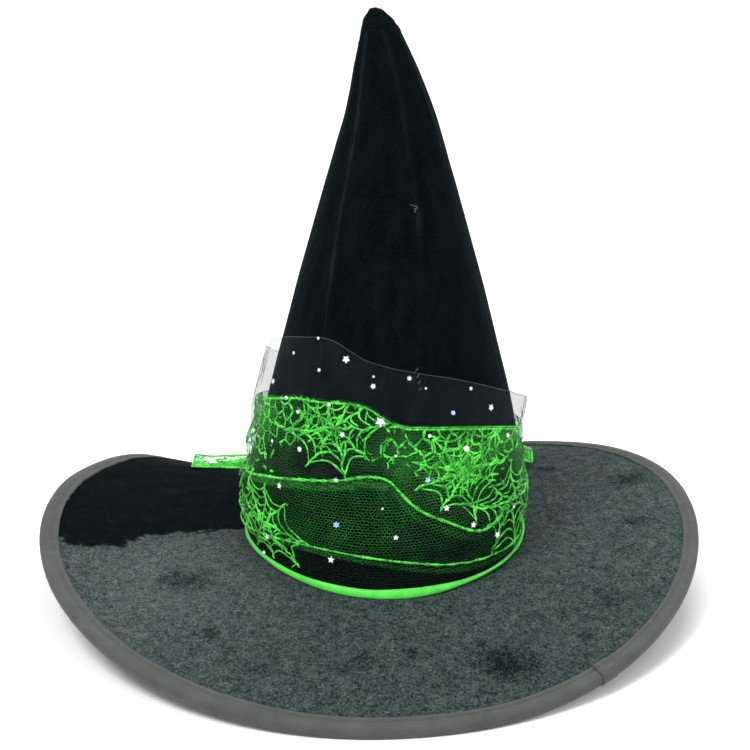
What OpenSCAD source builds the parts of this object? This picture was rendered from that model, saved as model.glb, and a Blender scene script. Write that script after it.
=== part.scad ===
// Witch hat: a six-gore velvet crown on a waved velvet brim, with a web-lace scarf tied round its foot.
// The origin is the centre of the head opening, where the crown meets the brim. The front is -Y.

/* [Crown] */
// Inside radius of the sweatband, so 90 suits a head of about 57 cm
head_r = 90; // [86:0.5:94]
// Height of the crown above the brim
crown_h = 360; // [320:2:400]
// Height where the round foot of the crown turns into its straight side
foot_h = 90; // [80:1:100]
// How much the side draws in for each millimetre of height
side_slope = 0.275; // [0.26:0.005:0.28]
// Length of the rounded point
point_h = 36; // [30:1:42]
// Height of the sweatband above the opening
sweatband_h = 24; // [15:1:28]

/* [Brim] */
// Width of the brim from side to side
brim_w = 444; // [410:2:470]
// Depth of the brim from front to back
brim_d = 431; // [400:1:460]
// How far the brim's middle lies to the -X side of the crown
brim_shift = 13.5; // [0:0.5:16]
// How far the sides rise above the mean rim, and the front and back fall below it
brim_wave = 21; // [12:1:28]
// Turn of that wave, as a height on the diagonals
brim_skew = 3; // [0:1:7]
// Extra rise of the two back quarters, and fall of the two front ones
brim_twist = 5; // [0:1:7]
// Depth of the dip in the rim at the back left
back_dip = 18; // [0:1:22]
// Fall of the rim where it rests on a table
rim_drop = 33; // [28:1:38]
// Width of the binding tape on each face of the brim
tape_w = 10; // [7:0.5:13]

/* [Scarf] */
// Mean height of the lace's top edge
lace_h = 93; // [86:1:100]
// Mean height of the tulle's top edge
tulle_h = 122; // [116:1:134]
// Mean height of the fold between the lower roll and the upper band
fold_h = 50; // [46:1:54]
// Reach of the left tail from the knot
left_tail = 144; // [110:2:150]
// Reach of the right tail from the knot
right_tail = 104; // [80:2:120]

/* [Hidden] */
$fn = 96;

gore_t = 1.6;
stiffener_t = 1;
lining_t = 0.6;
sweatband_t = 0.9;
gap = 0.1;
cover_t = 1.3;
board_t = 1.8;
under_t = 0.9;
wire_r = 0.8;
tape_t = 1;
join_turn = 311;
layer_gap = 0.4;

crown_r = head_r + sweatband_t + lining_t + stiffener_t + gore_t + 1.4;
foot_curve = side_slope / (2 * foot_h);
side_h = crown_h - foot_h - point_h;
side_belly = 1.6;
gore_end = crown_h - 14;
seam_turn = 228;
gore_turn = 60;
crown_rows = 14;
brim_in = head_r + sweatband_t + 2 * gap;
brim_n = 72;
brim_rows = 6;
wrap_n = 60;
wrap_rows = 4;
tail_n = 12;
knot_r = 15;
knot_depth = 9;
knot_z = 50;
knot_y = crown_r + 3.5 + knot_depth;
tail_root_w = 12;
tail_w = 32;
tail_t = 1.4;
tail_lift = 1.2;

velvet = [0.05, 0.08, 0.08];
felt = [0.16, 0.18, 0.18];
tape_grey = [0.42, 0.45, 0.41];
lace_green = [0.2, 0.8, 0.22];
satin_green = [0.35, 1, 0.3];
tulle_black = [0.1, 0.12, 0.14, 0.6];
silver = [0.8, 0.85, 0.9];

// Radius of the crown's outside at height z: a curved foot, a side with a slight belly, a round point.
function side_r(z) = crown_r - foot_curve * foot_h * foot_h - side_slope * (z - foot_h)
    + side_belly * sin(180 * (z - foot_h) / side_h);
function point_r(z) = side_r(foot_h + side_h) * (1 - pow((z - foot_h - side_h) / point_h, 1.8));
function crown_r_at(z) = z < foot_h ? crown_r - foot_curve * z * z
    : z < foot_h + side_h ? side_r(z) : point_r(min(z, crown_h));

// A layer of the crown in half section, between two depths below the outside, up to a shared height.
function crown_z(i) = gap + (gore_end - gap) * i / crown_rows;
function crown_layer(last, outer, inner) = concat(
    [for (i = [0:last]) [crown_r_at(crown_z(i)) - outer, crown_z(i)]],
    [for (i = [last:-1:0]) [crown_r_at(crown_z(i)) - inner, crown_z(i)]]);

// Height of the rim at angle a, flattened where it rests on the table.
function rim_z(a) = max(-rim_drop, brim_wave * (cos(2 * a) - 0.6) + brim_skew * sin(2 * a)
    + brim_twist * (sin(3 * a) + sin(a)) - back_dip * exp(-pow((a - 120) / 15, 2)));

brim_span = (brim_w + brim_d) / 4 - brim_in;
// The brim is flat under the crown's foot and bends from there out: s is 0 at its hole and 1 at the rim.
brim_flat = (crown_r + 1.2 - brim_in) / brim_span;
function brim_bend(s) = pow(max(0, (s - brim_flat) / (1 - brim_flat)), 1.2);
function brim_point(s, a, up = 0) = [
    -brim_shift * s + (brim_in + (brim_w / 2 - brim_in) * s) * cos(a),
    (brim_in + (brim_d / 2 - brim_in) * s) * sin(a),
    rim_z(a) * brim_bend(s) + up];
// Row j of the brim's points, from the head opening to the rim.
function brim_s(j) = j == 0 ? 0 : brim_flat + (1 - brim_flat) * (j - 1) / (brim_rows - 1);
rim_step = brim_span * (1 - brim_flat) / (brim_rows - 1);
// A point at a distance out from the rim, in line with the brim's last two rows.
function rim_point(out, a, up) = let (p = brim_point(1, a, up), q = brim_point(brim_s(brim_rows - 1), a, up))
    p + (p - q) * out / rim_step;

// Height of the brim's top face under a point.
function brim_share(x, y) = (norm([x, y]) - brim_in) / brim_span;
function brim_z(x, y) = let (xs = x + brim_shift * brim_share(x, y), s = brim_share(xs, y))
    rim_z(atan2(y, xs)) * brim_bend(s);

// Edges of the scarf's layers, as heights at angle a.
function lace_edge(a) = lace_h + 29 * cos(a + 110);
function tulle_edge(a) = tulle_h + 33 * cos(a + 122);
function fold_edge(a) = fold_h + 28 * cos(a + 87);

// Two triangles that close a section between points j and j + 1 and their partners on its other side.
function strip_cap(first, j, m, flip) =
    let (a = first + j, b = first + j + 1, c = first + m - 2 - j, d = first + m - 1 - j)
    flip ? [[a, c, b], [a, d, c]] : [[a, b, c], [a, c, d]];

// Faces of a solid made of n sections with m points each, closed in a ring or capped at both ends.
function skin_faces(n, m, ring) = concat(
    [for (i = [0:(ring ? n - 1 : n - 2)]) for (j = [0:m - 1])
        let (a = i * m + j, b = i * m + (j + 1) % m,
             c = ((i + 1) % n) * m + (j + 1) % m, d = ((i + 1) % n) * m + j)
        each (j < m / 2 ? [[a, b, c], [a, c, d]] : [[a, b, d], [b, c, d]])],
    ring ? [] : [for (j = [0:m / 2 - 2]) each concat(
        strip_cap(0, j, m, true), strip_cap((n - 1) * m, j, m, false))]);

module skinned(sections, ring = true) {
    polyhedron(points = [for (s = sections) each s],
               faces = skin_faces(len(sections), len(sections[0]), ring), convexity = 6);
}

// Row j of a layer that stops short of the rim by reach.
function brim_row(j, a, up, reach) =
    j < brim_rows ? brim_point(brim_s(j), a, up) : rim_point(-reach, a, up);

module brim_layer(top, bottom, reach) {
    skinned([for (i = [0:brim_n - 1]) let (a = i * 360 / brim_n) concat(
        [for (j = [0:brim_rows]) brim_row(j, a, top, reach)],
        [for (j = [brim_rows:-1:0]) brim_row(j, a, bottom, reach)])]);
}

// The brim's whole thickness under its top face.
brim_t = cover_t + board_t + under_t + 2 * gap;
// One side of the folded tape in section, at a distance off the brim: [out from the rim, above the top face].
function tape_line(off) = [
    [-tape_w, off], [0.2, off], [0.2 + off * 0.8, -brim_t * 0.15], [0.3 + off, -brim_t / 2],
    [0.2 + off * 0.8, -brim_t * 0.85], [0.2, -brim_t - off], [-tape_w, -brim_t - off]];
function tape_section(inner, outer) = let (a = tape_line(inner), b = tape_line(outer))
    concat(a, [for (i = [len(b) - 1:-1:0]) b[i]]);

module rim_tape(inner, outer, from, to, steps, ring) {
    skinned([for (i = [0:(ring ? steps - 1 : steps)]) let (a = from + (to - from) * i / steps)
        [for (p = tape_section(inner, outer)) rim_point(p[0], a, p[1])]], ring);
}

// A band round the crown between two heights, given as functions of the angle, swelling out at its middle.
module wrap(low, high, inner, outer, swell) {
    skinned([for (i = [0:wrap_n - 1]) let (a = i * 360 / wrap_n) concat(
        [for (j = [0:wrap_rows]) let (t = j / wrap_rows, z = low(a) + (high(a) - low(a)) * t,
            r = crown_r_at(z) + inner) [r * cos(a), r * sin(a), z]],
        [for (j = [wrap_rows:-1:0]) let (t = j / wrap_rows, z = low(a) + (high(a) - low(a)) * t,
            r = crown_r_at(z) + outer + swell * sin(180 * t)) [r * cos(a), r * sin(a), z]])]);
}

module crown_gore(i) {
    color(velvet) rotate([0, 0, seam_turn + gore_turn * (i - 1)]) rotate_extrude(angle = gore_turn)
        polygon(crown_layer(crown_rows, 0, gore_t));
}

module crown_tip() {
    tuck_r = crown_r_at(gore_end) - gore_t - layer_gap;
    color(velvet) rotate_extrude() polygon(concat(
        [[0, gore_end - 6], [tuck_r, gore_end - 6], [tuck_r, gore_end + gap]],
        [for (i = [0:4]) let (z = gore_end + gap + (crown_h - 1 - gore_end) * i / 4) [crown_r_at(z), z]],
        [[0, crown_h - 0.5]]));
}

module crown_stiffener() {
    color(felt) rotate_extrude()
        polygon(crown_layer(crown_rows - 1, gore_t + gap, gore_t + gap + stiffener_t));
}

module crown_lining() {
    depth = gore_t + stiffener_t + 2 * gap;
    color([0.12, 0.12, 0.13]) rotate_extrude()
        polygon(crown_layer(crown_rows - 2, depth, depth + lining_t));
}

module sweatband() {
    color([0.1, 0.1, 0.1]) difference() {
        translate([0, 0, -brim_t]) cylinder(h = sweatband_h + brim_t, r = head_r + sweatband_t);
        translate([0, 0, -brim_t - 1]) cylinder(h = sweatband_h + brim_t + 2, r = head_r);
    }
}

module brim_top_cover() {
    color(velvet) brim_layer(0, -cover_t, 0);
}

module brim_stiffener() {
    color(felt) brim_layer(-cover_t - gap, -cover_t - gap - board_t, 5);
}

module brim_under_cover() {
    color(velvet) brim_layer(-brim_t + under_t, -brim_t, 0);
}

module brim_wire() {
    mid = -cover_t - gap - board_t / 2;
    color(silver) skinned([for (i = [0:brim_n - 1]) let (a = i * 360 / brim_n)
        [for (k = [0:5]) rim_point(-3 + wire_r * cos(60 * k), a, mid - wire_r * sin(60 * k))]]);
}

module brim_binding() {
    color(tape_grey) rim_tape(gap, gap + tape_t, 0, 360, brim_n, true);
}

// The tape's overlapped end, folded over itself at the front right.
module binding_join() {
    inner = 2 * gap + tape_t;
    color(tape_grey) rim_tape(inner, inner + 0.7, join_turn, join_turn + 3, 3, false);
}

module scarf_lower_roll() {
    color(lace_green) wrap(function(a) 5.5, function(a) fold_edge(a), layer_gap, 1.6, 2.2);
}

module scarf_upper_band() {
    color(lace_green)
        wrap(function(a) fold_edge(a) + 0.5, function(a) lace_edge(a), 1.4, 2.4, 0.6);
}

module scarf_hem() {
    color(satin_green) wrap(function(a) 0.4, function(a) 5.1, layer_gap, 1.6, 1.2);
}

module tulle_band() {
    color(tulle_black) wrap(function(a) fold_edge(a) + 0.5, function(a) tulle_edge(a), layer_gap, 0.9, 0);
}

// Places of the sequins on the scarf, as [angle round from the front, height].
STARS = [[-23, 147], [-8, 132], [10, 137], [-71, 117], [55, 107], [-4, 111], [-21, 101], [63, 85],
         [-47, 61], [-21, 73], [24, 54], [35, 39], [48, 25], [2, 40], [-56, 22], [-24, 22], [17, 74],
         [-21, 46], [95, 62], [128, 30], [150, 80], [205, 74], [232, 40], [250, 92]];
DOTS = [[-59, 141], [-42, 156], [-38, 137], [-8, 138], [18, 130], [43, 124], [31, 112], [-41, 86],
        [-59, 83], [-46, 108], [-80, 78], [3, 90], [18, 101], [35, 89], [61, 36], [-2, 58], [-62, 6],
        [-56, 113], [-29, 118], [82, 70], [112, 84], [140, 48], [160, 80], [196, 96], [222, 66],
        [240, 20], [258, 60]];

module on_scarf(turn, z) {
    slope = atan2(crown_r_at(z - 1) - crown_r_at(z + 1), 2);
    out = z < fold_edge(turn - 90) ? 4.3 : z < lace_edge(turn - 90) + 3.5 ? 3.9 : 1.4;
    rotate([0, 0, turn]) translate([0, -crown_r_at(z) - out, z]) rotate([90 - slope, 0, 0]) children();
}

module star_sequins() {
    color(silver) for (p = STARS) on_scarf(p[0], p[1]) linear_extrude(0.4)
        polygon([for (k = [0:9]) let (r = k % 2 == 0 ? 3.2 : 1.4) [r * sin(36 * k), r * cos(36 * k)]]);
}

module round_sequins() {
    color(silver) for (p = DOTS) on_scarf(p[0], p[1]) cylinder(h = 0.4, r = 1.5, $fn = 24);
}

// Three stitches that hold the tulle to the crown's front right seam.
module tack_stitches() {
    color([0.3, 0.33, 0.34]) for (k = [0:2]) on_scarf(18, 141 - 3.5 * k)
        translate([0, 0, 0.1]) rotate([0, 90, 12]) cylinder(h = 3, r = 0.35, center = true, $fn = 16);
}

module scarf_knot() {
    color(lace_green) translate([0, knot_y, knot_z]) rotate([90, 0, 0]) rotate_extrude()
        polygon([for (i = [0:12]) [knot_r * cos(15 * i - 90), knot_depth * sin(15 * i - 90)]]);
}

// A ribbon from the knot down to the brim and along it: t runs from the knot to the free end.
function tail_x(t, reach) = knot_r + 1.5 + (reach - knot_r - 1.5) * t;
function tail_half(t) = tail_root_w / 2 + (tail_w - tail_root_w) / 2 * min(1, 2.5 * t);
function tail_y(t) = knot_y + tail_half(t) - tail_root_w / 2 + 3 * sin(180 * t);
function tail_fall(t) = pow(max(0, 1 - t / 0.42), 2);
function tail_point(t, reach, side, across) =
    let (x = side * tail_x(t, reach), y = tail_y(t) + across * tail_half(t),
         rest = brim_z(x, y) + tail_lift + 1.5 * (1 - cos(360 * max(0, t - 0.35) / 0.65)))
    [x, y, rest + (knot_z - 8 - rest) * tail_fall(t)];

module tail(reach, side) {
    color(lace_green) skinned([for (i = [0:tail_n]) let (t = i / tail_n) [
        for (c = side > 0 ? [-1, 0, 1] : [1, 0, -1]) tail_point(t, reach, side, c),
        for (c = side > 0 ? [1, 0, -1] : [-1, 0, 1]) tail_point(t, reach, side, c) + [0, 0, tail_t]]], false);
}

module scarf_tail_left() {
    tail(left_tail, -1);
}

module scarf_tail_right() {
    tail(right_tail, 1);
}

crown_gore(1);  // crown_gore_1
crown_gore(2);  // crown_gore_2
crown_gore(3);  // crown_gore_3
crown_gore(4);  // crown_gore_4
crown_gore(5);  // crown_gore_5
crown_gore(6);  // crown_gore_6
crown_tip();
crown_stiffener();
crown_lining();
sweatband();
brim_top_cover();
brim_stiffener();
brim_under_cover();
brim_wire();
brim_binding();
binding_join();
scarf_lower_roll();
scarf_upper_band();
scarf_hem();
tulle_band();
star_sequins();
round_sequins();
tack_stitches();
scarf_knot();
scarf_tail_left();
scarf_tail_right();
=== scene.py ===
"""Witch hat: its cloth, lace, sequins and stitching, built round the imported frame.

-Y is the hat's front and +X its right as the camera sees it. Shapes are worked out in millimetres and
turned into metres where a mesh is made. The camera, the lights and the floor are in metres.
"""

import math

import bpy
import numpy as np
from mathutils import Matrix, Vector


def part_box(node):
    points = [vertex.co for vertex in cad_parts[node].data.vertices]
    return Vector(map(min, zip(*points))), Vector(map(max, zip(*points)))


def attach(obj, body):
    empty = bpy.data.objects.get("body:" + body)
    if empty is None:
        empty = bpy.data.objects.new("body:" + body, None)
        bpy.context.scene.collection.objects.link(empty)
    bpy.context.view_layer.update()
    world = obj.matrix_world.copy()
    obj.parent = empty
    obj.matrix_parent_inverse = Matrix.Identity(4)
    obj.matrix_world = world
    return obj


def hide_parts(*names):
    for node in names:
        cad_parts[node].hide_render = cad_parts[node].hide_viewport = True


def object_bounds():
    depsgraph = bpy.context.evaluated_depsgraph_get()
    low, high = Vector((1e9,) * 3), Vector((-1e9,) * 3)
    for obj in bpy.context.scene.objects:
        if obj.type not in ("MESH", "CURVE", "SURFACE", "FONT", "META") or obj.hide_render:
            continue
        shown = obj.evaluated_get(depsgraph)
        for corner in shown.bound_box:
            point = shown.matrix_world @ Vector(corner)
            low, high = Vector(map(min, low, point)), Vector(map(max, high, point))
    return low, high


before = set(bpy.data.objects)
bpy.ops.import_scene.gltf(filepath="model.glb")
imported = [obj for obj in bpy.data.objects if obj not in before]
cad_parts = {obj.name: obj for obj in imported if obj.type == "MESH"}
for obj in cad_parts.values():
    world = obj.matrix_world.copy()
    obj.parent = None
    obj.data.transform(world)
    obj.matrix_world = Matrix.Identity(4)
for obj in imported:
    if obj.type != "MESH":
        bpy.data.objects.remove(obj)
CAD_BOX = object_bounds()
MM = 0.001
rng = np.random.default_rng(11)


# ---------------------------------------------------------------- the frame's own shape


def node_points(name):
    """A CAD node's vertices in millimetres."""
    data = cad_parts[name].data
    co = np.zeros(len(data.vertices) * 3)
    data.vertices.foreach_get("co", co)
    return co.reshape(-1, 3) / MM


def box_mm(name):
    low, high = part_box(name)
    return np.array(low) / MM, np.array(high) / MM


def smooth_curve(xs, ys):
    """A smooth function through points, flat beyond its ends."""
    xs, ys = np.asarray(xs, float), np.asarray(ys, float)
    slopes = np.gradient(ys, xs)

    def at(x):
        x = np.clip(np.asarray(x, float), xs[0], xs[-1])
        i = np.clip(np.searchsorted(xs, x) - 1, 0, len(xs) - 2)
        h = xs[i + 1] - xs[i]
        t = (x - xs[i]) / h
        keep, rise = 2 * t**3 - 3 * t**2 + 1, 3 * t**2 - 2 * t**3
        out, back = t**3 - 2 * t**2 + t, t**3 - t**2
        return keep * ys[i] + rise * ys[i + 1] + h * (out * slopes[i] + back * slopes[i + 1])

    return at


def crown_profile():
    """Radius of the crown's outside by height, from the gores and the tip."""
    rings = {}
    for name in [*(f"crown_gore_{i}" for i in range(1, 7)), "crown_tip"]:
        for x, y, z in node_points(name):
            key = round(z, 1)
            rings[key] = max(rings.get(key, 0), math.hypot(x, y))
    kept = sorted(k for k in rings if k >= 0)
    inside = True
    while inside:
        inside = [b for a, b, c in zip(kept, kept[1:], kept[2:])
                  if rings[b] < np.interp(b, (a, c), (rings[a], rings[c])) - 0.2 or b - a < 1]
        kept = [h for h in kept if h not in inside[:1]]
    return smooth_curve(kept, [rings[h] for h in kept]), kept[-1]


crown_r, CROWN_TOP = crown_profile()
GORE_TOP = box_mm("crown_gore_1")[1][2]
brim_low, brim_high = box_mm("brim_top_cover")
RIM_X, RIM_Y = (brim_high[0] - brim_low[0]) / 2, (brim_high[1] - brim_low[1]) / 2
BRIM_SHIFT = -(brim_high[0] + brim_low[0]) / 2
band_low, band_high = box_mm("sweatband")
BRIM_IN = band_high[0] + 0.2
BRIM_T = -band_low[2]
BRIM_SPAN = (RIM_X + RIM_Y) / 2 - BRIM_IN
TAPE_W = 10.0
FLOOR_Z = CAD_BOX[0].z
FLAT_SHARE = (float(crown_r(0.0)) + 1.2 - BRIM_IN) / BRIM_SPAN


def rim_heights(terms=16):
    """The rim's height by angle: a few harmonics fitted to the brim cover's outer edge."""
    p = node_points("brim_top_cover")
    u, v = (p[:, 0] + BRIM_SHIFT) / RIM_X, p[:, 1] / RIM_Y
    edge = np.hypot(u, v) > 0.999
    angle, z = np.arctan2(v[edge], u[edge]), p[edge, 2]
    top = {}
    for a, h in zip(np.round(angle, 3), z):
        top[a] = max(top.get(a, -1e9), h)
    a, h = np.array(list(top)), np.array(list(top.values()))
    basis = [np.ones_like(a)]
    for k in range(1, terms):
        basis += [np.cos(k * a), np.sin(k * a)]
    weights = np.linalg.lstsq(np.stack(basis, 1), h, rcond=None)[0]

    def at(angle):
        z = weights[0] + 0 * angle
        for k in range(1, terms):
            z = z + weights[2 * k - 1] * np.cos(k * angle) + weights[2 * k] * np.sin(k * angle)
        return z

    return at


rim_z = rim_heights()


def brim_bend(share):
    """The brim is flat under the crown's foot and bends from there out."""
    return np.maximum((share - FLAT_SHARE) / (1 - FLAT_SHARE), 0) ** 1.2


def brim_point(share, angle, up=0.0):
    """A point on the brim's top face: share is 0 at the head opening and 1 at the rim."""
    x = -BRIM_SHIFT * share + (BRIM_IN + (RIM_X - BRIM_IN) * share) * np.cos(angle)
    y = (BRIM_IN + (RIM_Y - BRIM_IN) * share) * np.sin(angle)
    z = rim_z(angle) * brim_bend(share) + up
    return np.stack(np.broadcast_arrays(x, y, z), -1)


def rim_point(out, angle, up):
    return brim_point(1 + out / BRIM_SPAN, angle, up)


def brim_height(x, y):
    share = (np.hypot(x, y) - BRIM_IN) / BRIM_SPAN
    shifted = x + BRIM_SHIFT * share
    share = (np.hypot(shifted, y) - BRIM_IN) / BRIM_SPAN
    return rim_z(np.arctan2(y, shifted)) * brim_bend(share)


def lean(z):
    """How far the crown stands to the side at height z: its foot and its top sit a little to the left."""
    foot = -4.0 * np.exp(-(((z - 45) / 30) ** 2)) - 1.5 * np.exp(-((z / 25) ** 2))
    return foot - 9.0 * np.clip((z - 285) / 75, 0, 1) ** 1.4


def oval(z):
    """The foot follows a head's oval: narrower from side to side, deeper from front to back."""
    share = 0.045 * np.exp(-((z / 60) ** 2))
    return 1 - share, 1 + share


def crown_point(turn, z, out=0.0):
    """A point on the crown, turn degrees round from the front towards +X."""
    a = np.radians(turn)
    r = crown_r(z) + out
    wide, deep = oval(z)
    return np.stack(np.broadcast_arrays(wide * r * np.sin(a) + lean(z), -deep * r * np.cos(a), z), -1)


# ---------------------------------------------------------------- noise


def lattice(ix, iy, iz, seed):
    h = (ix * 374761393 + iy * 668265263 + iz * 2147483629 + seed * 974711) & 0xFFFFFFFF
    h = ((h ^ (h >> 13)) * 1274126177) & 0xFFFFFFFF
    return ((h ^ (h >> 16)) & 0xFFFFFFFF) / 2**32


def value_noise(p, seed=0):
    """Smooth noise from -1 to 1 at points p, with one lattice cell per unit."""
    cell = np.floor(p).astype(np.int64)
    t = p - cell
    t = t * t * (3 - 2 * t)
    total = np.zeros(p.shape[:-1])
    for corner in range(8):
        d = np.array([corner & 1, corner >> 1 & 1, corner >> 2 & 1])
        weight = np.prod(np.where(d, t, 1 - t), axis=-1)
        q = cell + d
        total += weight * lattice(q[..., 0], q[..., 1], q[..., 2], seed)
    return 2 * total - 1


def fractal(p, octaves=3, seed=0):
    total, size = 0, 1.0
    for k in range(octaves):
        total = total + size * value_noise(p * 2**k, seed + 17 * k)
        size *= 0.5
    return total


# ---------------------------------------------------------------- meshes


def grid_faces(rows, columns, ring=False):
    """Quads of a grid whose points run row by row; ring joins the last row to the first."""
    i = np.arange(rows if ring else rows - 1)[:, None] * columns
    j = np.arange(columns - 1)[None, :]
    a = i + j
    b = (i + columns) % (rows * columns) + j
    return np.stack([a, b, b + 1, a + 1], -1).reshape(-1, 4)


def add_mesh(name, points, faces, material, body="hat", uv=None, smooth=True):
    """A mesh object from millimetre points and quads or triangles, riding on a body."""
    points = np.asarray(points, float).reshape(-1, 3) * MM
    faces = np.asarray(faces)
    sides = faces.shape[1]
    mesh = bpy.data.meshes.new(name)
    mesh.vertices.add(len(points))
    mesh.vertices.foreach_set("co", points.ravel())
    mesh.loops.add(faces.size)
    mesh.loops.foreach_set("vertex_index", faces.ravel().astype(np.int32))
    mesh.polygons.add(len(faces))
    mesh.polygons.foreach_set("loop_start", np.arange(0, faces.size, sides, dtype=np.int32))
    mesh.polygons.foreach_set("use_smooth", np.full(len(faces), smooth))
    mesh.update(calc_edges=True)
    if uv is not None:
        layer = mesh.uv_layers.new(name="UVMap")
        layer.data.foreach_set("uv", np.asarray(uv, float).reshape(-1, 2)[faces.ravel()].ravel())
    mesh.validate()
    mesh.materials.append(material)
    piece = bpy.data.objects.new(name, mesh)
    bpy.context.scene.collection.objects.link(piece)
    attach(piece, body)
    return piece


def paint(piece, name, values):
    """A shade from 0 to 1 at each vertex, for the piece's material."""
    layer = piece.data.attributes.new(name, "FLOAT", "POINT")
    layer.data.foreach_set("value", np.clip(np.asarray(values, float).ravel(), 0, 1))


def thicken(piece, thickness, offset=-1.0):
    """Gives a single sheet its cloth's thickness, in millimetres."""
    solid = piece.modifiers.new("thickness", "SOLIDIFY")
    solid.thickness = thickness * MM
    solid.offset = offset


def tube(path, radius, sides=6, normal=None, flat=1.0):
    """Points and quads of a closed-ended tube along a path; flat squeezes it along the normals."""
    path = np.asarray(path, float)
    n = len(path)
    along = np.gradient(path, axis=0)
    along /= np.linalg.norm(along, axis=1, keepdims=True) + 1e-12
    if normal is None:
        guide = np.array([0.0, 0, 1]) if abs(along[:, 2]).mean() < 0.8 else np.array([1.0, 0, 0])
        normal = np.broadcast_to(guide, (n, 3))
    across = np.cross(along, normal)
    across /= np.linalg.norm(across, axis=1, keepdims=True) + 1e-12
    up = np.cross(across, along)
    radius = np.broadcast_to(np.asarray(radius, float), (n,)).copy()
    radius[[0, -1]] *= 0.35
    a = np.arange(sides) * 2 * np.pi / sides
    ring = np.cos(a)[None, :, None] * across[:, None] + flat * np.sin(a)[None, :, None] * up[:, None]
    points = path[:, None] + radius[:, None, None] * ring
    i = np.arange(n - 1)[:, None] * sides
    j = np.arange(sides)[None, :]
    k = (j + 1) % sides
    faces = np.stack(np.broadcast_arrays(i + j, i + k, i + sides + k, i + sides + j), -1).reshape(-1, 4)
    caps = [[(n - 1) * sides * end + c for c in order] for end, order in
            ((0, (0, sides - 1, sides - 2, 1)), (1, (0, 1, sides - 2, sides - 1)))]
    return points.reshape(-1, 3), np.vstack([faces, np.array(caps)])


def ring_faces(count, sides):
    """Quads of a closed tube of count sections that joins up with itself."""
    i, j = np.meshgrid(np.arange(count), np.arange(sides), indexing="ij")
    n, k = (i + 1) % count, (j + 1) % sides
    return np.stack([i * sides + j, n * sides + j, n * sides + k, i * sides + k], -1).reshape(-1, 4)


def ring_tube(path, radius, sides=5):
    """A closed tube round a ring of points."""
    count = len(path)
    out = path * np.array([1.0, 1.0, 0.0])
    out /= np.linalg.norm(out, axis=1, keepdims=True)
    around = np.arange(sides) * 2 * np.pi / sides
    verts = path[:, None] + radius * (np.cos(around)[:, None] * out[:, None]
                                      + np.sin(around)[:, None] * np.array([0, 0, 1.0]))
    return verts.reshape(-1, 3), ring_faces(count, sides)


def joined(parts):
    """Several (points, faces) lists as one."""
    points, faces, first = [], [], 0
    for p, f in parts:
        points.append(p)
        faces.append(np.asarray(f) + first)
        first += len(p)
    return np.vstack(points), np.vstack(faces)


# ---------------------------------------------------------------- materials


class Shader:
    """A material's node tree, with short calls for what this hat needs."""

    def __init__(self, name, **inputs):
        self.material = bpy.data.materials.new(name)
        self.material.use_nodes = True
        self.tree = self.material.node_tree
        self.bsdf = self.tree.nodes["Principled BSDF"]
        self.output = self.tree.nodes["Material Output"]
        for key, value in inputs.items():
            self.bsdf.inputs[key.replace("_", " ")].default_value = value

    def node(self, kind, settings=None, **inputs):
        made = self.tree.nodes.new("ShaderNode" + kind)
        for key, value in (settings or {}).items():
            setattr(made, key, value)
        for key, value in inputs.items():
            self.feed(made.inputs[key.replace("_", " ")], value)
        return made

    def feed(self, socket, value):
        if isinstance(value, bpy.types.NodeSocket):
            self.tree.links.new(value, socket)
        else:
            socket.default_value = value

    def place(self, scale=(1, 1, 1), source="Object", turn=(0, 0, 0)):
        """Coordinates in millimetres, scaled."""
        at = self.node("TexCoord").outputs[source]
        unit = 1 if source == "UV" else 1 / MM
        return self.node("Mapping", None, Vector=at, Scale=[s * unit for s in scale],
                         Rotation=turn).outputs["Vector"]

    def noise(self, size, detail=3.0, rough=0.5, where=None, distortion=0.0):
        """Noise with blobs about size millimetres across."""
        return self.node("TexNoise", None, Vector=where or self.place(), Scale=1.0 / size, Detail=detail,
                         Roughness=rough, Distortion=distortion).outputs["Fac"]

    def shade(self, name):
        return self.node("Attribute", {"attribute_name": name}).outputs["Fac"]

    def ramp(self, value, *stops):
        made = self.node("ValToRGB", None, Fac=value)
        points = made.color_ramp.elements
        while len(points) < len(stops):
            points.new(0.5)
        for point, (at, colour) in zip(points, stops):
            point.position = at
            point.color = colour if hasattr(colour, "__len__") else (colour, colour, colour, 1)
        return made.outputs["Color"]

    def mix(self, share, a, b, blend="MIX"):
        made = self.node("Mix", {"data_type": "RGBA", "blend_type": blend})
        self.feed(made.inputs[0], share)
        self.feed(made.inputs[6], a)
        self.feed(made.inputs[7], b)
        return made.outputs[2]

    def math(self, operation, a, b=0.0, clamp=False):
        made = self.node("Math", {"operation": operation, "use_clamp": clamp})
        self.feed(made.inputs[0], a)
        self.feed(made.inputs[1], b)
        return made.outputs[0]

    def bump(self, height, strength=0.4, depth=0.3):
        """Bump whose full height is depth millimetres."""
        made = self.node("Bump", None, Height=height, Strength=strength, Distance=depth * MM)
        self.feed(self.bsdf.inputs["Normal"], made.outputs["Normal"])

    def see_through(self, cover):
        """Shows the shader only where cover is 1."""
        clear = self.node("BsdfTransparent")
        mixed = self.node("MixShader")
        self.feed(mixed.inputs[0], cover)
        self.feed(mixed.inputs[1], clear.outputs[0])
        self.feed(mixed.inputs[2], self.bsdf.outputs[0])
        self.feed(self.output.inputs["Surface"], mixed.outputs[0])


def grey(value, tint=(1, 1, 1)):
    return (value * tint[0], value * tint[1], value * tint[2], 1)


COOL = (0.86, 1.04, 1.02)


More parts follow.
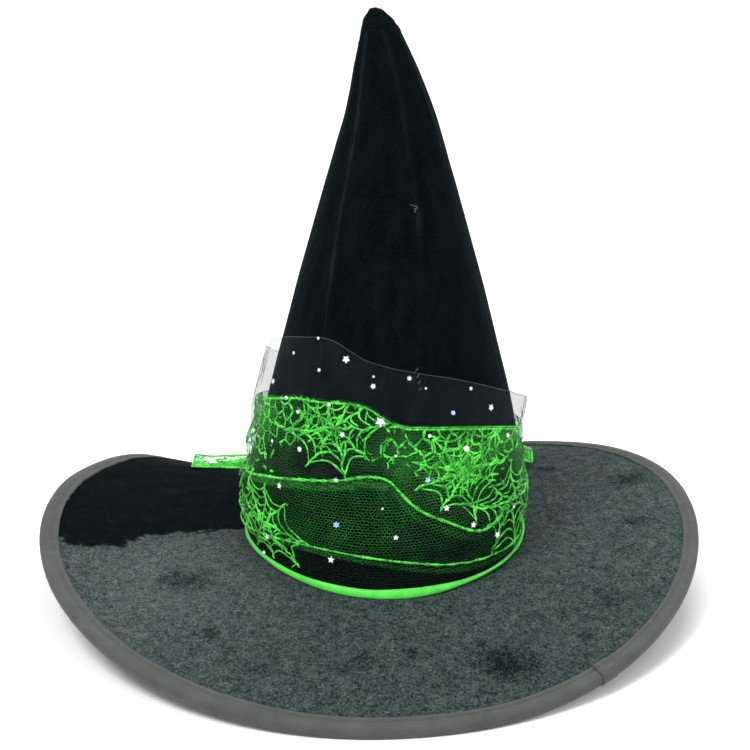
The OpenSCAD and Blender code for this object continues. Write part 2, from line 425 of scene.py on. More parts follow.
def crown_velvet():
    """Deep black velvet with a short upright pile and a faint green-blue bloom."""
    s = Shader("crown_velvet", Roughness=1.0, Sheen_Weight=0.02, Sheen_Roughness=0.35,
               Sheen_Tint=(0.5, 0.9, 0.9, 1), Specular_IOR_Level=0.03)
    streaks = s.noise(1.0, 4, 0.6, s.place((1 / 9, 1 / 9, 1 / 55)))
    nap = s.noise(1.5, 3, 0.75)
    # The "lit" attribute adds the painted highlight along the seams to the velvet's tone.
    tone = s.math("ADD", s.mix(0.6, streaks, nap), s.shade("lit"))
    colour = s.ramp(tone, (0.36, (0.0002, 0.0011, 0.0014, 1)), (0.64, (0.0023, 0.0054, 0.0061, 1)),
                    (1.0, (0.0072, 0.0125, 0.0135, 1)))
    s.feed(s.bsdf.inputs["Base Color"], colour)
    s.bump(s.mix(0.6, s.noise(5.0, 3), s.noise(0.55, 2)), 0.55, 0.5)
    return s.material


def brim_velvet():
    """Crushed velvet: grey where the pile catches the light, almost black where it turns away."""
    s = Shader("brim_velvet", Roughness=1.0, Sheen_Weight=0.02, Sheen_Roughness=0.4,
               Sheen_Tint=(0.75, 0.92, 0.95, 1), Specular_IOR_Level=0.02)
    broad = s.noise(6, 5, 0.7, distortion=0.3)
    pile = s.noise(1.6, 3, 0.75)
    tone = s.math("ADD", s.math("MULTIPLY", broad, 0.45), s.math("MULTIPLY", pile, 0.85))
    tone = s.math("SUBTRACT", tone, 0.15)
    tone = s.math("ADD", tone, s.math("MULTIPLY", s.math("SUBTRACT", s.shade("lit"), 0.5), 0.8))
    colour = s.ramp(tone, (0.14, (0.0010, 0.0026, 0.0032, 1)), (0.34, (0.008, 0.014, 0.015, 1)),
                    (0.50, (0.040, 0.052, 0.051, 1)), (0.66, (0.092, 0.102, 0.098, 1)),
                    (0.82, (0.15, 0.155, 0.148, 1)))
    hue = s.ramp(s.noise(30, 2), (0.42, (0.93, 1.0, 1.03, 1)), (0.58, (0.97, 1.04, 0.96, 1)))
    colour = s.mix(1.0, colour, hue, "MULTIPLY")
    s.feed(s.bsdf.inputs["Base Color"], colour)
    s.bump(s.mix(0.5, broad, pile), 0.6, 0.6)
    return s.material


def woven(name, dark, light, rib=0.55, turn=0.0, rough=0.8, sheen=0.15, source="UV"):
    """A plain woven cloth with fine ribs; its mesh's UVs are millimetres."""
    s = Shader(name, Roughness=rough, Sheen_Weight=sheen, Specular_IOR_Level=0.25)
    where = s.place((1, 1, 1), source, (0, 0, turn))
    warp = s.node("TexWave", {"bands_direction": "X"}, Vector=where, Scale=0.32 / rib, Distortion=0.6,
                  Detail=1.0).outputs["Fac"]
    weft = s.node("TexWave", {"bands_direction": "Y"}, Vector=where, Scale=0.32 / rib, Distortion=0.6,
                  Detail=1.0).outputs["Fac"]
    threads = s.math("MULTIPLY", warp, weft)
    stain = s.noise(14, 4, 0.6)
    shade = s.math("ADD", s.math("MULTIPLY", threads, 0.45), s.math("MULTIPLY", stain, 0.55))
    s.feed(s.bsdf.inputs["Base Color"], s.ramp(shade, (0.2, dark), (0.62, light)))
    s.bump(threads, 0.6, 0.18)
    return s.material


def lace_cord_material():
    """Brushed green yarn, with light and shaded stretches and a fuzzy surface."""
    s = Shader("lace_cord", Roughness=0.6, Sheen_Weight=0.25, Sheen_Roughness=0.5,
               Sheen_Tint=(0.4, 1, 0.35, 1), Specular_IOR_Level=0.25)
    tone = s.mix(0.55, s.noise(9, 3), s.noise(0.9, 2))
    s.feed(s.bsdf.inputs["Base Color"],
           s.ramp(tone, (0.38, (0.005, 0.085, 0.008, 1)), (0.47, (0.026, 0.34, 0.024, 1)),
                  (0.58, (0.115, 0.86, 0.075, 1))))
    s.bump(s.noise(0.5, 2), 0.8, 0.25)
    return s.material


def net_cover(s, cell, thread):
    """1 on the threads of a fine net of staggered cells, by UVs in millimetres."""
    where = s.place((1, 1, 1), "UV")
    wobble = s.node("TexNoise", None, Vector=where, Scale=0.35, Detail=1.0)
    moved = s.node("VectorMath", {"operation": "MULTIPLY_ADD"})
    s.feed(moved.inputs[0], wobble.outputs["Color"])
    s.feed(moved.inputs[1], (cell * 0.8, cell * 0.8, 0))
    s.feed(moved.inputs[2], where)
    brick = s.node("TexBrick", {"offset": 0.5, "squash": 1.0}, Vector=moved.outputs[0], Scale=1.0,
                   Mortar_Size=thread, Mortar_Smooth=0.3, Brick_Width=cell, Row_Height=cell * 0.72)
    return brick.outputs["Fac"]


def lace_net_material():
    """The green net that the web is worked on: staggered cells with open middles."""
    s = Shader("lace_net", Roughness=0.7, Specular_IOR_Level=0.2, Sheen_Weight=0.1)
    # The "lit" attribute adds painted light and shade to the net's colour.
    tone = s.math("ADD", s.math("MULTIPLY", s.noise(13, 3), 0.4), s.math("MULTIPLY", s.shade("lit"), 0.6))
    s.feed(s.bsdf.inputs["Base Color"],
           s.ramp(tone, (0.25, (0.002, 0.016, 0.004, 1)), (0.5, (0.02, 0.21, 0.022, 1)),
                  (0.75, (0.08, 0.68, 0.065, 1))))
    haze = s.math("MULTIPLY", s.shade("haze"), s.ramp(s.noise(2.2, 3), (0.36, 0.25), (0.62, 1.0)))
    s.see_through(s.math("ADD", net_cover(s, 2.5, 0.085), haze, True))
    return s.material


def tulle_material():
    """Sheer black net over the velvet, a little lighter than it."""
    s = Shader("black_tulle", Roughness=0.6, Specular_IOR_Level=0.08, Sheen_Weight=0.06,
               Sheen_Tint=(0.8, 0.85, 0.95, 1))
    s.feed(s.bsdf.inputs["Base Color"],
           s.ramp(s.noise(12, 3), (0.3, (0.005, 0.007, 0.009, 1)), (0.7, (0.012, 0.015, 0.018, 1))))
    s.see_through(s.math("ADD", s.math("MULTIPLY", net_cover(s, 0.8, 0.13), 0.3), 0.17, True))
    return s.material


def satin_material():
    """Shiny green satin with fine lengthwise threads."""
    s = Shader("green_satin", Roughness=0.34, Sheen_Weight=0.3, Sheen_Tint=(0.5, 1, 0.4, 1))
    threads = s.node("TexWave", {"bands_direction": "Y"}, Vector=s.place((1, 1, 1), "UV"), Scale=0.9,
                     Distortion=1.2, Detail=2.0).outputs["Fac"]
    tone = s.mix(0.5, s.noise(9, 3), threads)
    s.feed(s.bsdf.inputs["Base Color"],
           s.ramp(tone, (0.25, (0.012, 0.28, 0.014, 1)), (0.6, (0.09, 0.86, 0.065, 1))))
    s.bump(threads, 0.35, 0.15)
    return s.material


def foil_material(name, colour):
    """Mirror foil of a sequin, lightly crumpled."""
    s = Shader(name, Metallic=0.35, Roughness=0.35, Specular_IOR_Level=0.7)
    s.feed(s.bsdf.inputs["Base Color"],
           s.ramp(s.noise(2.5, 2), (0.35, tuple(0.75 * c for c in colour[:3]) + (1,)), (0.6, colour)))
    s.bump(s.noise(1.2, 2), 0.3, 0.2)
    return s.material


def thread_material(name, dark, light):
    s = Shader(name, Roughness=0.55, Sheen_Weight=0.3)
    s.feed(s.bsdf.inputs["Base Color"], s.ramp(s.noise(1.4, 2), (0.35, dark), (0.65, light)))
    s.bump(s.noise(0.35, 1), 0.6, 0.1)
    return s.material


def wire_material():
    s = Shader("steel_wire", Metallic=1.0, Roughness=0.35)
    s.feed(s.bsdf.inputs["Base Color"],
           s.ramp(s.noise(3, 3), (0.3, (0.42, 0.42, 0.42, 1)), (0.7, (0.68, 0.68, 0.68, 1))))
    return s.material


VELVET = crown_velvet()
BRIM_VELVET = brim_velvet()
TAPE = woven("bias_tape", grey(0.038, (1, 1.04, 0.97)), grey(0.082, (0.98, 1.03, 0.96)), 0.6, 0.785,
             0.75, 0.08)
UNDER = woven("under_cloth", grey(0.012), grey(0.035, COOL), 0.9)
GROSGRAIN = woven("grosgrain", grey(0.008), grey(0.03), 1.1, 0, 0.55, 0.15)
LINING = woven("lining_cloth", grey(0.008), grey(0.02), 0.7, 0, 0.45, 0.1)
BUCKRAM = woven("buckram", grey(0.012), grey(0.04), 1.4, 0, 0.9, 0.0, "Object")
CORD = lace_cord_material()
NET = lace_net_material()
TULLE = tulle_material()
SATIN = satin_material()
FOIL = foil_material("sequin_foil", (0.92, 0.96, 1.0, 1))
FOIL_BLUE = foil_material("sequin_foil_blue", (0.35, 0.5, 1.0, 1))
TAPE_THREAD = thread_material("tape_thread", grey(0.018), grey(0.07))
LOOSE_THREAD = thread_material("loose_thread", grey(0.025), grey(0.08))
TULLE_EDGE = thread_material("tulle_edge_thread", grey(0.005), grey(0.012))
STEEL = wire_material()

# ---------------------------------------------------------------- crown

SEAMS = [-42, 18, 78, 138, 198, 258]
SEAM_DRIFT = [-0.05, 0.07, 0.02, -0.03, 0.04, 0.0]
SEAM_DEPTH = [1.0, 1.0, 0.1, 0.7, 0.7, 0.7]
SEAM_BEND = smooth_curve([0, 160, 200, 238, 262, 285, 310, 335, 360],
                         [0, 0, 2, 2.2, -1, -4.7, -8, -14, -18])


def seam_turn(i, z):
    """Where seam i runs at height z, in degrees round from the front."""
    turn, drift = SEAMS[i % 6] + 360 * (i // 6), SEAM_DRIFT[i % 6]
    return turn + drift * (z - 190) + (SEAM_BEND(z) if i % 6 == 1 else 0)


def seam_lit(i, z):
    """How much the pile along seam i catches the light at height z."""
    if i % 6 == 0:
        return 0.40 * np.clip((z - 168) / 14, 0, 1)
    if i % 6 == 1:
        return 0.10 + 0.15 * np.clip((z - 260) / 30, 0, 1) + 0.45 * np.exp(-(((z - 234) / 13) ** 2))
    return 0.06 + 0 * z


def crown_wrinkle(turn, z):
    """Slight unevenness of the cloth over its stiffener, in millimetres."""
    a = np.radians(turn)
    p = np.stack(np.broadcast_arrays(np.sin(a) * 3, np.cos(a) * 3, z / 60), -1)
    fold = fractal(p * np.array([1.6, 1.6, 1.0]), 3, 5)
    near_tip = np.clip((z - 270) / 80, 0, 1)
    return 0.35 * fold * (1 + 0.9 * near_tip)


def gore_cloth(i):
    """One of the six gores, tucked in at its seams and a little full between them."""
    across = np.linspace(0, 1, 34)
    heights = np.linspace(0.2, GORE_TOP, 150)
    share, z = np.meshgrid(across, heights, indexing="ij")
    turn = seam_turn(i, z) + (seam_turn(i + 1, z) - seam_turn(i, z)) * share
    width = np.radians(60) * crown_r(z)
    from_seam = np.minimum(share, 1 - share) * width
    depth = np.where(share < 0.5, SEAM_DEPTH[i], SEAM_DEPTH[(i + 1) % 6])
    tuck = depth * (0.12 * np.exp(-((from_seam / 1.2) ** 2)) + 0.2 * np.exp(-((from_seam / 6) ** 2)))
    pucker = 0.12 * np.sin(z * 0.9 + 3 * i) * np.exp(-((from_seam / 3.5) ** 2))
    out = 0.15 * np.sin(np.pi * share) + crown_wrinkle(turn, z) + pucker - tuck
    points = crown_point(turn, z, out)
    faces = grid_faces(*share.shape)
    piece = add_mesh(f"gore_cloth_{i + 1}", points, faces, VELVET)
    # Painted highlight: the pile is painted lighter in a narrow band along each seam, stronger in places.
    seam_highlight = np.where(share < 0.5, seam_lit(i, z), seam_lit(i + 1, z)) * np.exp(-((from_seam / 1.6) ** 2))
    seam_highlight = seam_highlight * (0.85 + 0.35 * value_noise(np.stack([z / 9, 0 * z, 0 * z + i], -1), 15))
    paint(piece, "lit", seam_highlight)
    thicken(piece, 1.1)
    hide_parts(f"crown_gore_{i + 1}")


def inner_cone(name, node, material, thickness):
    """A layer inside the crown, leaning as the crown leans."""
    low, high = box_mm(node)
    depth = float(crown_r(max(low[2], 0.0))) - high[0]
    turn, z = np.meshgrid(np.arange(120) * 3.0, np.linspace(low[2], high[2], 60), indexing="ij")
    points = crown_point(turn, z, -depth)
    piece = add_mesh(name, points, grid_faces(*turn.shape, True), material,
                     uv=np.stack([np.radians(turn) * 80, z], -1))
    thicken(piece, thickness)
    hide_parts(node)


SWEATBAND_STITCHES = 150


def sweatband_cloth():
    """The ribbed ribbon inside the opening, with its row of stitches."""
    low, high = band_low, band_high
    turn, z = np.meshgrid(np.arange(360) * 1.0, np.linspace(low[2], high[2], 24), indexing="ij")
    a = np.radians(turn)
    r = high[0] - 0.05 + 0.12 * np.sin(a * 240) * np.clip((high[2] - z) / 2, 0, 1)
    side = lean(np.maximum(z, 0))
    wide, deep = oval(z)
    points = np.stack([wide * r * np.sin(a) + side, -deep * r * np.cos(a), z], -1)
    piece = add_mesh("sweatband_ribbon", points, grid_faces(*turn.shape, True), GROSGRAIN,
                     uv=np.stack([a * 90, z], -1))
    thicken(piece, 0.8)
    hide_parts("sweatband")
    parts = []
    for k in range(SWEATBAND_STITCHES):
        a = 2 * np.pi * (k + np.linspace(0.15, 0.8, 5)) / SWEATBAND_STITCHES
        r = high[0] - 1.15 + np.array([0.35, 0, -0.08, 0, 0.35])
        wide, deep = oval(2.0)
        path = [wide * r * np.sin(a) + lean(2.0), -deep * r * np.cos(a), 0 * a + 2.0]
        parts.append(tube(np.stack(path, -1), 0.3))
    stitches = add_mesh("sweatband_stitches", *joined(parts), TAPE_THREAD)


def tip_cloth():
    """The gathered end of the gores: a blunt, slightly folded point with a lower right shoulder."""
    rows, columns = 34, 72
    base = GORE_TOP - 3
    radius = smooth_curve([base, 351.5, 355.6, 358.2, 359.4, CROWN_TOP + 0.6],
                          [float(crown_r(base)), 9.4, 6.5, 4.9, 3.4, 0.2])
    turn = np.arange(columns) * 360.0 / columns
    grid_t, grid_turn = np.meshgrid(np.linspace(0, 1, rows), turn, indexing="ij")
    z = base + (CROWN_TOP + 0.6 - base) * (1 - (1 - grid_t) ** 1.8)
    a = np.radians(grid_turn)
    folds = 0.07 * np.sin(6 * a + 0.8) * np.sin(np.pi * grid_t) + 0.05 * np.sin(11 * a) * grid_t
    r = radius(z) * (1 + folds) - 0.2
    x, y = r * np.sin(a) + lean(z), -r * np.cos(a)
    z = z - 0.9 * np.clip(np.sin(a), 0, 1) * np.clip((z - 350) / 8, 0, 1)
    points = np.stack([x, y, z], -1).transpose(1, 0, 2)
    points[..., 2] -= 2.6 * np.clip((points[..., 2] - GORE_TOP) / (CAD_BOX[1].z / MM - GORE_TOP), 0, 1)
    piece = add_mesh("tip_cloth", points, grid_faces(columns, rows, True), VELVET)
    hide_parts("crown_tip")


# ---------------------------------------------------------------- brim


# Patches where the pile is turned away from the light, and the angle from one to the next in radians.
PATCH_COUNT = 21
GOLDEN_TURN = 2.4


def dark_patches():
    """Places where the pile is turned, spread round the brim: centre, reaches and depth of each."""
    k = np.arange(PATCH_COUNT)
    angle = GOLDEN_TURN * k
    out = 170 + 24 * np.sin(1.9 * k)
    reach = 11 + 7 * np.sin(2.7 * k)
    return np.stack([out * np.cos(angle), out * np.sin(angle), reach, 0.7 * reach,
                     0.38 + 0.2 * np.sin(3.3 * k)], -1)


NAP_LINE = smooth_curve([-226, -217, -202, -187, -177, -160, -147, -119, -95, -60],
                        [-20, -32, -36, -35, -33, -17, -14, -7, -2, 20])


def brim_lit(p):
    """How far the pile faces the light at points of the brim, from 0 to 1."""
    x, y = p[..., 0], p[..., 1]
    grain = np.stack([x / 7, y / 5, 0 * x], -1)
    x = x + 4.0 * fractal(grain, 4, 31)
    y = y + 3.4 * fractal(grain + 9.5, 4, 37)
    # Painted light and shade: lighter towards the left front and a little towards the right, darker in the
    # turned patches and behind the nap line.
    lit = 0.45 + 0.10 * np.exp(-(((x + 150) / 80) ** 2) - ((y + 80) / 75) ** 2)
    lit = lit + 0.06 * np.clip(x / 200, 0, 1) * np.clip(1 + y / 150, 0, 1)
    for cx, cy, rx, ry, depth in dark_patches():
        lit = lit - 0.34 * depth * np.exp(-(((x - cx) / rx) ** 2) - ((y - cy) / ry) ** 2)
    behind = np.clip((y - NAP_LINE(x)) / 5 + 0.5, 0, 1) * np.clip((-x - 40) / 50, 0, 1)
    return lit * (1 - behind) - 0.25 * behind


def brim_sheet(name, node, material, up, texture_seed, relief):
    """One cloth face of the brim, softly uneven."""
    angle = np.arange(480) * 2 * np.pi / 480
    share = np.linspace(0.0, 1.0, 74)
    a, s = np.meshgrid(angle, share, indexing="ij")
    p = brim_point(s, a)
    foot = crown_point(np.degrees(a) + 90, 0 * a, BRIM_IN - float(crown_r(0.0)))
    near = np.clip(1 - s / 0.05, 0, 1)[..., None]
    p = p + near * (foot - p) * np.array([1, 1, 0])
    bumps = fractal(p / np.array([22.0, 22, 60]), 4, texture_seed)
    edge = np.clip((1 - s) / 0.1, 0, 1)
    p[..., 2] += up + relief * bumps * edge
    piece = add_mesh(name, p, grid_faces(*a.shape, True)[:, ::-1], material, uv=p[..., :2])
    paint(piece, "lit", brim_lit(p))
    thicken(piece, 0.7)
    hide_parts(node)
    return piece


def tape_outline(grow=0.0):
    """The folded tape in half section: out from the rim, above the top face, groove included."""
    top = 1.15 + grow
    inner = [(-TAPE_W, 0.1), (-TAPE_W - 0.15, 0.55), (-TAPE_W + 0.25, top), (-TAPE_W * 0.78, top + 0.12),
             (-TAPE_W * 0.70, top - 0.25), (-TAPE_W * 0.66, top - 0.42), (-TAPE_W * 0.62, top - 0.25),
             (-TAPE_W * 0.54, top + 0.2), (-TAPE_W * 0.3, top + 0.28), (-0.8, top + 0.15),
             (0.4, top - 0.3), (1.15 + grow, -BRIM_T * 0.12), (1.35 + grow, -BRIM_T * 0.5)]
    lower = [(x, -BRIM_T - z) for x, z in inner[:-1][::-1]]
    return np.array(inner + lower)


def tape_ring(outline, angles, ring, seed=3, pucker=0.22):
    """Sweeps the tape's section round the rim, with the small puckers of a sewn tape."""
    out, up = outline[:, 0], outline[:, 1]
    a, o = np.meshgrid(angles, out, indexing="ij")
    u = np.broadcast_to(up, a.shape)
    length = a * (RIM_X + RIM_Y) / 2
    wave = value_noise(np.stack([length / 5.5, 0 * a, u / 30], -1), seed)
    inner = np.clip(-o / TAPE_W, 0, 1)
    side = np.where(u > -BRIM_T / 2, 1, -1)
    points = rim_point(o + 0.3 * wave * inner, a, u + side * pucker * wave * np.clip(-o / 3, 0, 1))
    uv = np.stack([length, np.broadcast_to(np.arange(len(out)) * 1.0, a.shape)], -1)
    return points, grid_faces(len(angles), len(out), ring)[:, ::-1], uv


def rim_tape():
    angles = np.arange(720) * 2 * np.pi / 720
    points, faces, uv = tape_ring(tape_outline(), angles, True)
    points[..., 2] = np.maximum(points[..., 2], FLOOR_Z / MM)
    piece = add_mesh("rim_tape", points, faces, TAPE, uv=uv)
    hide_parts("brim_binding")


RIM_STITCHES = 420


def rim_stitches():
    """The line of machine stitches in the tape's groove, above and below."""
    parts = []
    for k in range(RIM_STITCHES):
        a = 2 * np.pi * (k + np.array([0.12, 0.3, 0.5, 0.7, 0.88])) / RIM_STITCHES
        dip = np.array([-0.25, 0.05, 0.12, 0.05, -0.25])
        for level, sign in ((0.78, 1), (-BRIM_T - 0.78, -1)):
            path = rim_point(-TAPE_W * 0.66, a, level + sign * dip)
            parts.append(tube(path, 0.2, flat=0.8))
    piece = add_mesh("rim_tape_stitches", *joined(parts), TAPE_THREAD)


JOIN_THREADS = 9


def tape_join():
    """The tape's overlapped end at the front right, with its cut edge and loose threads."""
    low, high = box_mm("binding_join")
    middle = (low + high) / 2
    angle = math.atan2(middle[1] / RIM_Y, (middle[0] + BRIM_SHIFT) / RIM_X)
    half = 1.7 * math.pi / 180
    angles = np.linspace(angle - half, angle + half, 16)
    points, faces, uv = tape_ring(tape_outline(0.75), angles, False, 8, 0.3)
    fray = 1 + 0.02 * rng.standard_normal(points.shape[1])
    points[-1] = points[-2] + (points[-1] - points[-2]) * fray[:, None]
    piece = add_mesh("tape_join", points, faces, TAPE, uv=uv)
    thicken(piece, 0.45)
    parts = []
    for _ in range(JOIN_THREADS):
        start = rim_point(rng.uniform(-TAPE_W, 0), angle + half * rng.choice([-1, 1]), 1.9)
        drift = np.array([rng.uniform(-1, 1), rng.uniform(-1.2, 0.4), rng.uniform(0.1, 0.9)])
        t = np.linspace(0, 1, 7)[:, None]
        curl = np.sin(t * np.pi * rng.uniform(0.6, 1.6)) * rng.uniform(-1, 1)
        path = start + t * drift * rng.uniform(2.5, 6) + curl * np.array([0.7, 0.4, 0.3])
        parts.append(tube(path, 0.16))
    threads = add_mesh("tape_join_threads", *joined(parts), LOOSE_THREAD)
    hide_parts("binding_join")


# ---------------------------------------------------------------- scarf surface

HEM_TOP = box_mm("scarf_hem")[1][2]


lace_line = smooth_curve([-180, -135, -92, -66, -47, -34, -16, -9, -4, 4, 18, 32, 54, 78, 110, 150, 180],
                         [66, 80, 97, 110, 118, 120, 122, 120, 116, 110, 107, 104, 96, 84, 74, 66, 66])
tulle_line = smooth_curve([-180, -140, -105, -90, -74, -50, -38, -30, -21, -12, -5, 13, 35, 57, 78, 92, 120,
                           150, 180],
                          [94, 106, 121, 132, 145, 154, 157, 156, 152, 147, 145, 140, 132, 120, 106, 95, 90,
                           89, 94])
fold_line = smooth_curve([-180, -135, -90, -57, -38, -20, -6, 2, 10, 24, 39, 50, 65, 90, 135, 180],
                         [46, 45, 45, 59, 66, 71, 75, 72, 58, 43, 32, 35, 43, 53, 50, 46])


def wrap_turn(turn):
    return (np.asarray(turn, float) + 180) % 360 - 180


def lace_edge(turn):
    return lace_line(wrap_turn(turn))


def tulle_edge(turn):
    return tulle_line(wrap_turn(turn))


def fold_edge(turn):
    """Height of the main fold, where the upper lace meets the lower roll."""
    return fold_line(wrap_turn(turn))


def foot_edge(turn):
    """Height of the lower roll's under fold."""
    return 5 + 17 * np.cos(np.radians(turn + 25)) ** 2 * (0.5 + 0.5 * np.cos(np.radians(turn + 25)))


def in_front(turn):
    """1 where the upper lace hangs in front of the roll, 0 where the roll stands in front."""
    t = np.clip((wrap_turn(turn) + 2) / 8, 0, 1)
    back = np.clip((150 - np.abs(wrap_turn(turn))) / 30, 0, 1)
    return t * back


def behind(turn):
    """0 at the front and sides, 1 behind the crown."""
    return np.clip((np.abs(wrap_turn(turn)) - 86) / 26, 0, 1)


def puff(turn, z):
    """The bulges at the scarf's sides: low down on the right, gathered towards the knot on the left."""
    turn = wrap_turn(turn)
    right = 3.6 * np.exp(-(((turn - 80) / 20) ** 2) - ((z - 38) / 16) ** 2)
    left = 8.5 * np.exp(-(((turn + 95) / 14) ** 2) - ((z - 64) / 10) ** 2)
    low_left = 4.4 * np.exp(-(((turn + 86) / 22) ** 2) - ((z - 22) / 20) ** 2)
    return right + left + low_left


def creases(turn, z):
    """Soft slanting creases where the scarf is pulled towards the fold on the right."""
    turn = wrap_turn(turn)
    du, dv = (turn - 39) * 1.55, z - 31
    angle = np.arctan2(dv, du)
    reach = np.hypot(du, dv)
    fan = 0.55 * np.sin(9 * angle) * np.exp(-reach / 45) * np.clip(reach / 8, 0, 1)
    swell = 0.5 * np.sin(np.radians(turn * 3.3) + z / 17) + 0.35 * np.sin(np.radians(turn * 8) - z / 9)
    return fan + swell


def upper_out(turn, z):
    """How far the upper lace stands off the crown."""
    t = np.clip((z - fold_edge(turn)) / 16, 0, 1)
    hang = 3.4 * in_front(turn) * (1 - t) ** 1.5
    side = np.exp(-(((wrap_turn(turn) + 88) / 17) ** 2)) * np.clip((z - 66) / 30, 0, 1)
    right = np.exp(-(((wrap_turn(turn) - 86) / 18) ** 2)) * np.clip((z - 52) / 26, 0, 1)
    return 1.9 + hang + 5.5 * side + 2.6 * right + 0.5 * creases(turn, z) + 0.6 * puff(turn, z)


def roll_out(turn, z):
    """How far the lower roll stands off the crown."""
    top, foot = fold_edge(turn), foot_edge(turn)
    t = np.clip((z - foot) / np.maximum(top - foot, 1), 0, 1)
    body = 1.4 + 2.2 * np.sin(np.pi * t) ** 0.7
    lip = 2.9 * (1 - in_front(turn)) * np.exp(-(((t - 0.93) / 0.14) ** 2))
    under = 1.6 * np.exp(-(((t - 0.06) / 0.12) ** 2))
    return body + lip + under + creases(turn, z) + puff(turn, z)


def flare(turn, z):
    """The scarf's foot spreads a little over the brim at the front."""
    return 3.4 * np.exp(-(((wrap_turn(turn) - 4) / 38) ** 2)) * np.clip(1 - z / 16, 0, 1)


def foot_out(turn, z):
    return 1.3 + 0.3 * creases(turn, z) + 0.7 * puff(turn, z) + flare(turn, z)


def scarf_out(turn, z):
    """How far the outermost layer stands off the crown."""
    upper, roll, foot = upper_out(turn, z), roll_out(turn, z), foot_out(turn, z)
    return np.where(z > fold_edge(turn), upper, np.where(z > foot_edge(turn), roll, foot))


def scarf_point(turn, z, lift=0.0):
    return crown_point(turn, z, scarf_out(turn, z) + lift)


def scarf_normal(turn):
    a = np.radians(turn)
    return np.stack([np.sin(a), -np.cos(a), 0.25 + 0 * a], -1)


def scarf_sheet(name, node, material, low, high, out, columns=360, rows=26, curl=0.0):
    """A sheet round the crown between two edges; curl turns both edges in."""
    turn = np.arange(columns) * 360.0 / columns
    t = np.linspace(0, 1, rows)
    turns, ts = np.meshgrid(turn, t, indexing="ij")
    z = low(turns) + (high(turns) - low(turns)) * ts
    inward = curl * (np.clip(1 - ts / 0.06, 0, 1) + np.clip(1 - (1 - ts) / 0.06, 0, 1))
    points = crown_point(turns, z, out(turns, z) - inward)
    uv = np.stack([np.radians(turns) * 92, z], -1)
    piece = add_mesh(name, points, grid_faces(columns, rows, True), material, uv=uv)
    lit, haze = net_light(turns, z, ts)
    paint(piece, "lit", lit)
    paint(piece, "haze", haze)
    if node:
        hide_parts(node)
    return piece


# Painted light and shade on the lace's net, as (size, centre, reach): lighter patches, and darker ones
# where the fold pockets and creases fall in shade.
LIT_BUMPS = [(0.4, (44, 84), (40, 24)), (0.4, (-78, 92), (32, 26)), (0.16, (-14, 46), (26, 20)),
             (0.25, (-88, 96), (16, 24)), (0.2, (84, 78), (14, 24)), (-0.4, (-28, 78), (26, 6)),
             (-0.3, (74, 40), (10, 10)), (-0.2, (26, 26), (26, 7))]
HAZE_BUMPS = [(0.45, (35, 74), (10, 7)), (0.35, (62, 84), (16, 9)), (0.7, (-85, 98), (17, 22)),
              (0.45, (6, 96), (5, 22)), (0.34, (-84, 62), (12, 8)), (0.2, (-66, 22), (22, 9)),
              (0.3, (82, 30), (12, 24)), (0.12, (20, 86), (30, 20)), (0.5, (82, 78), (12, 22)),
              (0.22, (-58, 27), (26, 8))]


def net_light(turn, z, share):
    """How bright the lace's net is, and how matted: both fall away in the folds and over the crown."""
    # Painted light and shade: the bumps lighten and darken the net, and the net below the under fold is
    # painted dark as shade.
    lit = 0.36 + 0.2 * behind(turn) + bump_sum(turn, z, LIT_BUMPS) - 0.4 * (z < foot_edge(turn))
    fold = (z < fold_edge(turn) + 1) & (share > 0.9) & (in_front(turn) < 0.5)
    return lit, bump_sum(turn, z, HAZE_BUMPS) + 0.3 * fold


def tulle_out(turn, z):
    """The tulle clings to the crown, but stands off it at both sides."""
    turn = wrap_turn(turn)
    t = np.clip((z - lace_edge(turn)) / np.maximum(tulle_edge(turn) - lace_edge(turn), 1), 0, 1)
    left = 8.0 * np.exp(-(((turn + 88) / 17) ** 2)) * np.clip((z - 60) / 30, 0, 1)
    right = (4.2 + 5.4 * t) * np.exp(-(((turn - 88) / 15) ** 2))
    ripple = 0.35 * np.sin(np.radians(turn * 9)) + 0.25 * np.sin(np.radians(turn * 17) + 1)
    pleats = 0.14 * (left + right) * np.sin(np.radians(turn * 31))
    return 0.9 + left + right + ripple * t + pleats


def hem_ring():
    """The satin fold along the scarf's bottom: a soft flat tube with small pulls."""
    columns, sides = 480, 14
    turn = np.arange(columns) * 360.0 / columns
    around = np.arange(sides) * 2 * np.pi / sides
    turns, a = np.meshgrid(turn, around, indexing="ij")
    thin = np.exp(-(((wrap_turn(turns) - 64) / 38) ** 6))
    height = 2.3 + 0.5 * np.cos(np.radians(turns)) + 0.15 * np.sin(np.radians(turns * 13))
    height = height * (1 - 0.7 * thin)
    height = height * (1 - 0.35 * np.exp(-(((wrap_turn(turns) + 58) / 26) ** 2)))
    thick = 1.15 + 0.15 * np.sin(np.radians(turns * 21 + 30))
    z = HEM_TOP / 2 + 0.3 + height * np.sin(a) + 0.25 * np.sin(np.radians(turns * 5))
    out = 1.9 + thick * np.cos(a) + 0.55 * puff(turns, 20) + flare(turns, z)
    points = crown_point(turns, z, out)
    points[..., 2] = np.maximum(z, 0.25) + np.minimum(brim_height(points[..., 0], points[..., 1]), 0)
    uv = np.stack([np.radians(turns) * 96, a * 2], -1)
    piece = add_mesh("satin_hem", points, ring_faces(columns, sides), SATIN, uv=uv)
    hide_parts("scarf_hem")
    return piece


# ---------------------------------------------------------------- lace web

FLAT_R = 92.0


def to_flat(turn, z):
    """Turn and height as flat millimetres, for laying out the web."""
    return np.radians(turn) * FLAT_R, z


def from_flat(u, v):
    return np.degrees(u / FLAT_R), v


def wander(a, b, steps, amount):
    """A slightly crooked line from a to b."""
    t = np.linspace(0, 1, steps)[:, None]
    line = np.asarray(a) + (np.asarray(b) - np.asarray(a)) * t
    shake = rng.standard_normal((steps, 2)) * amount
    shake = np.cumsum(shake, 0)
    shake -= shake[0] + (shake[-1] - shake[0]) * t
    return line + shake


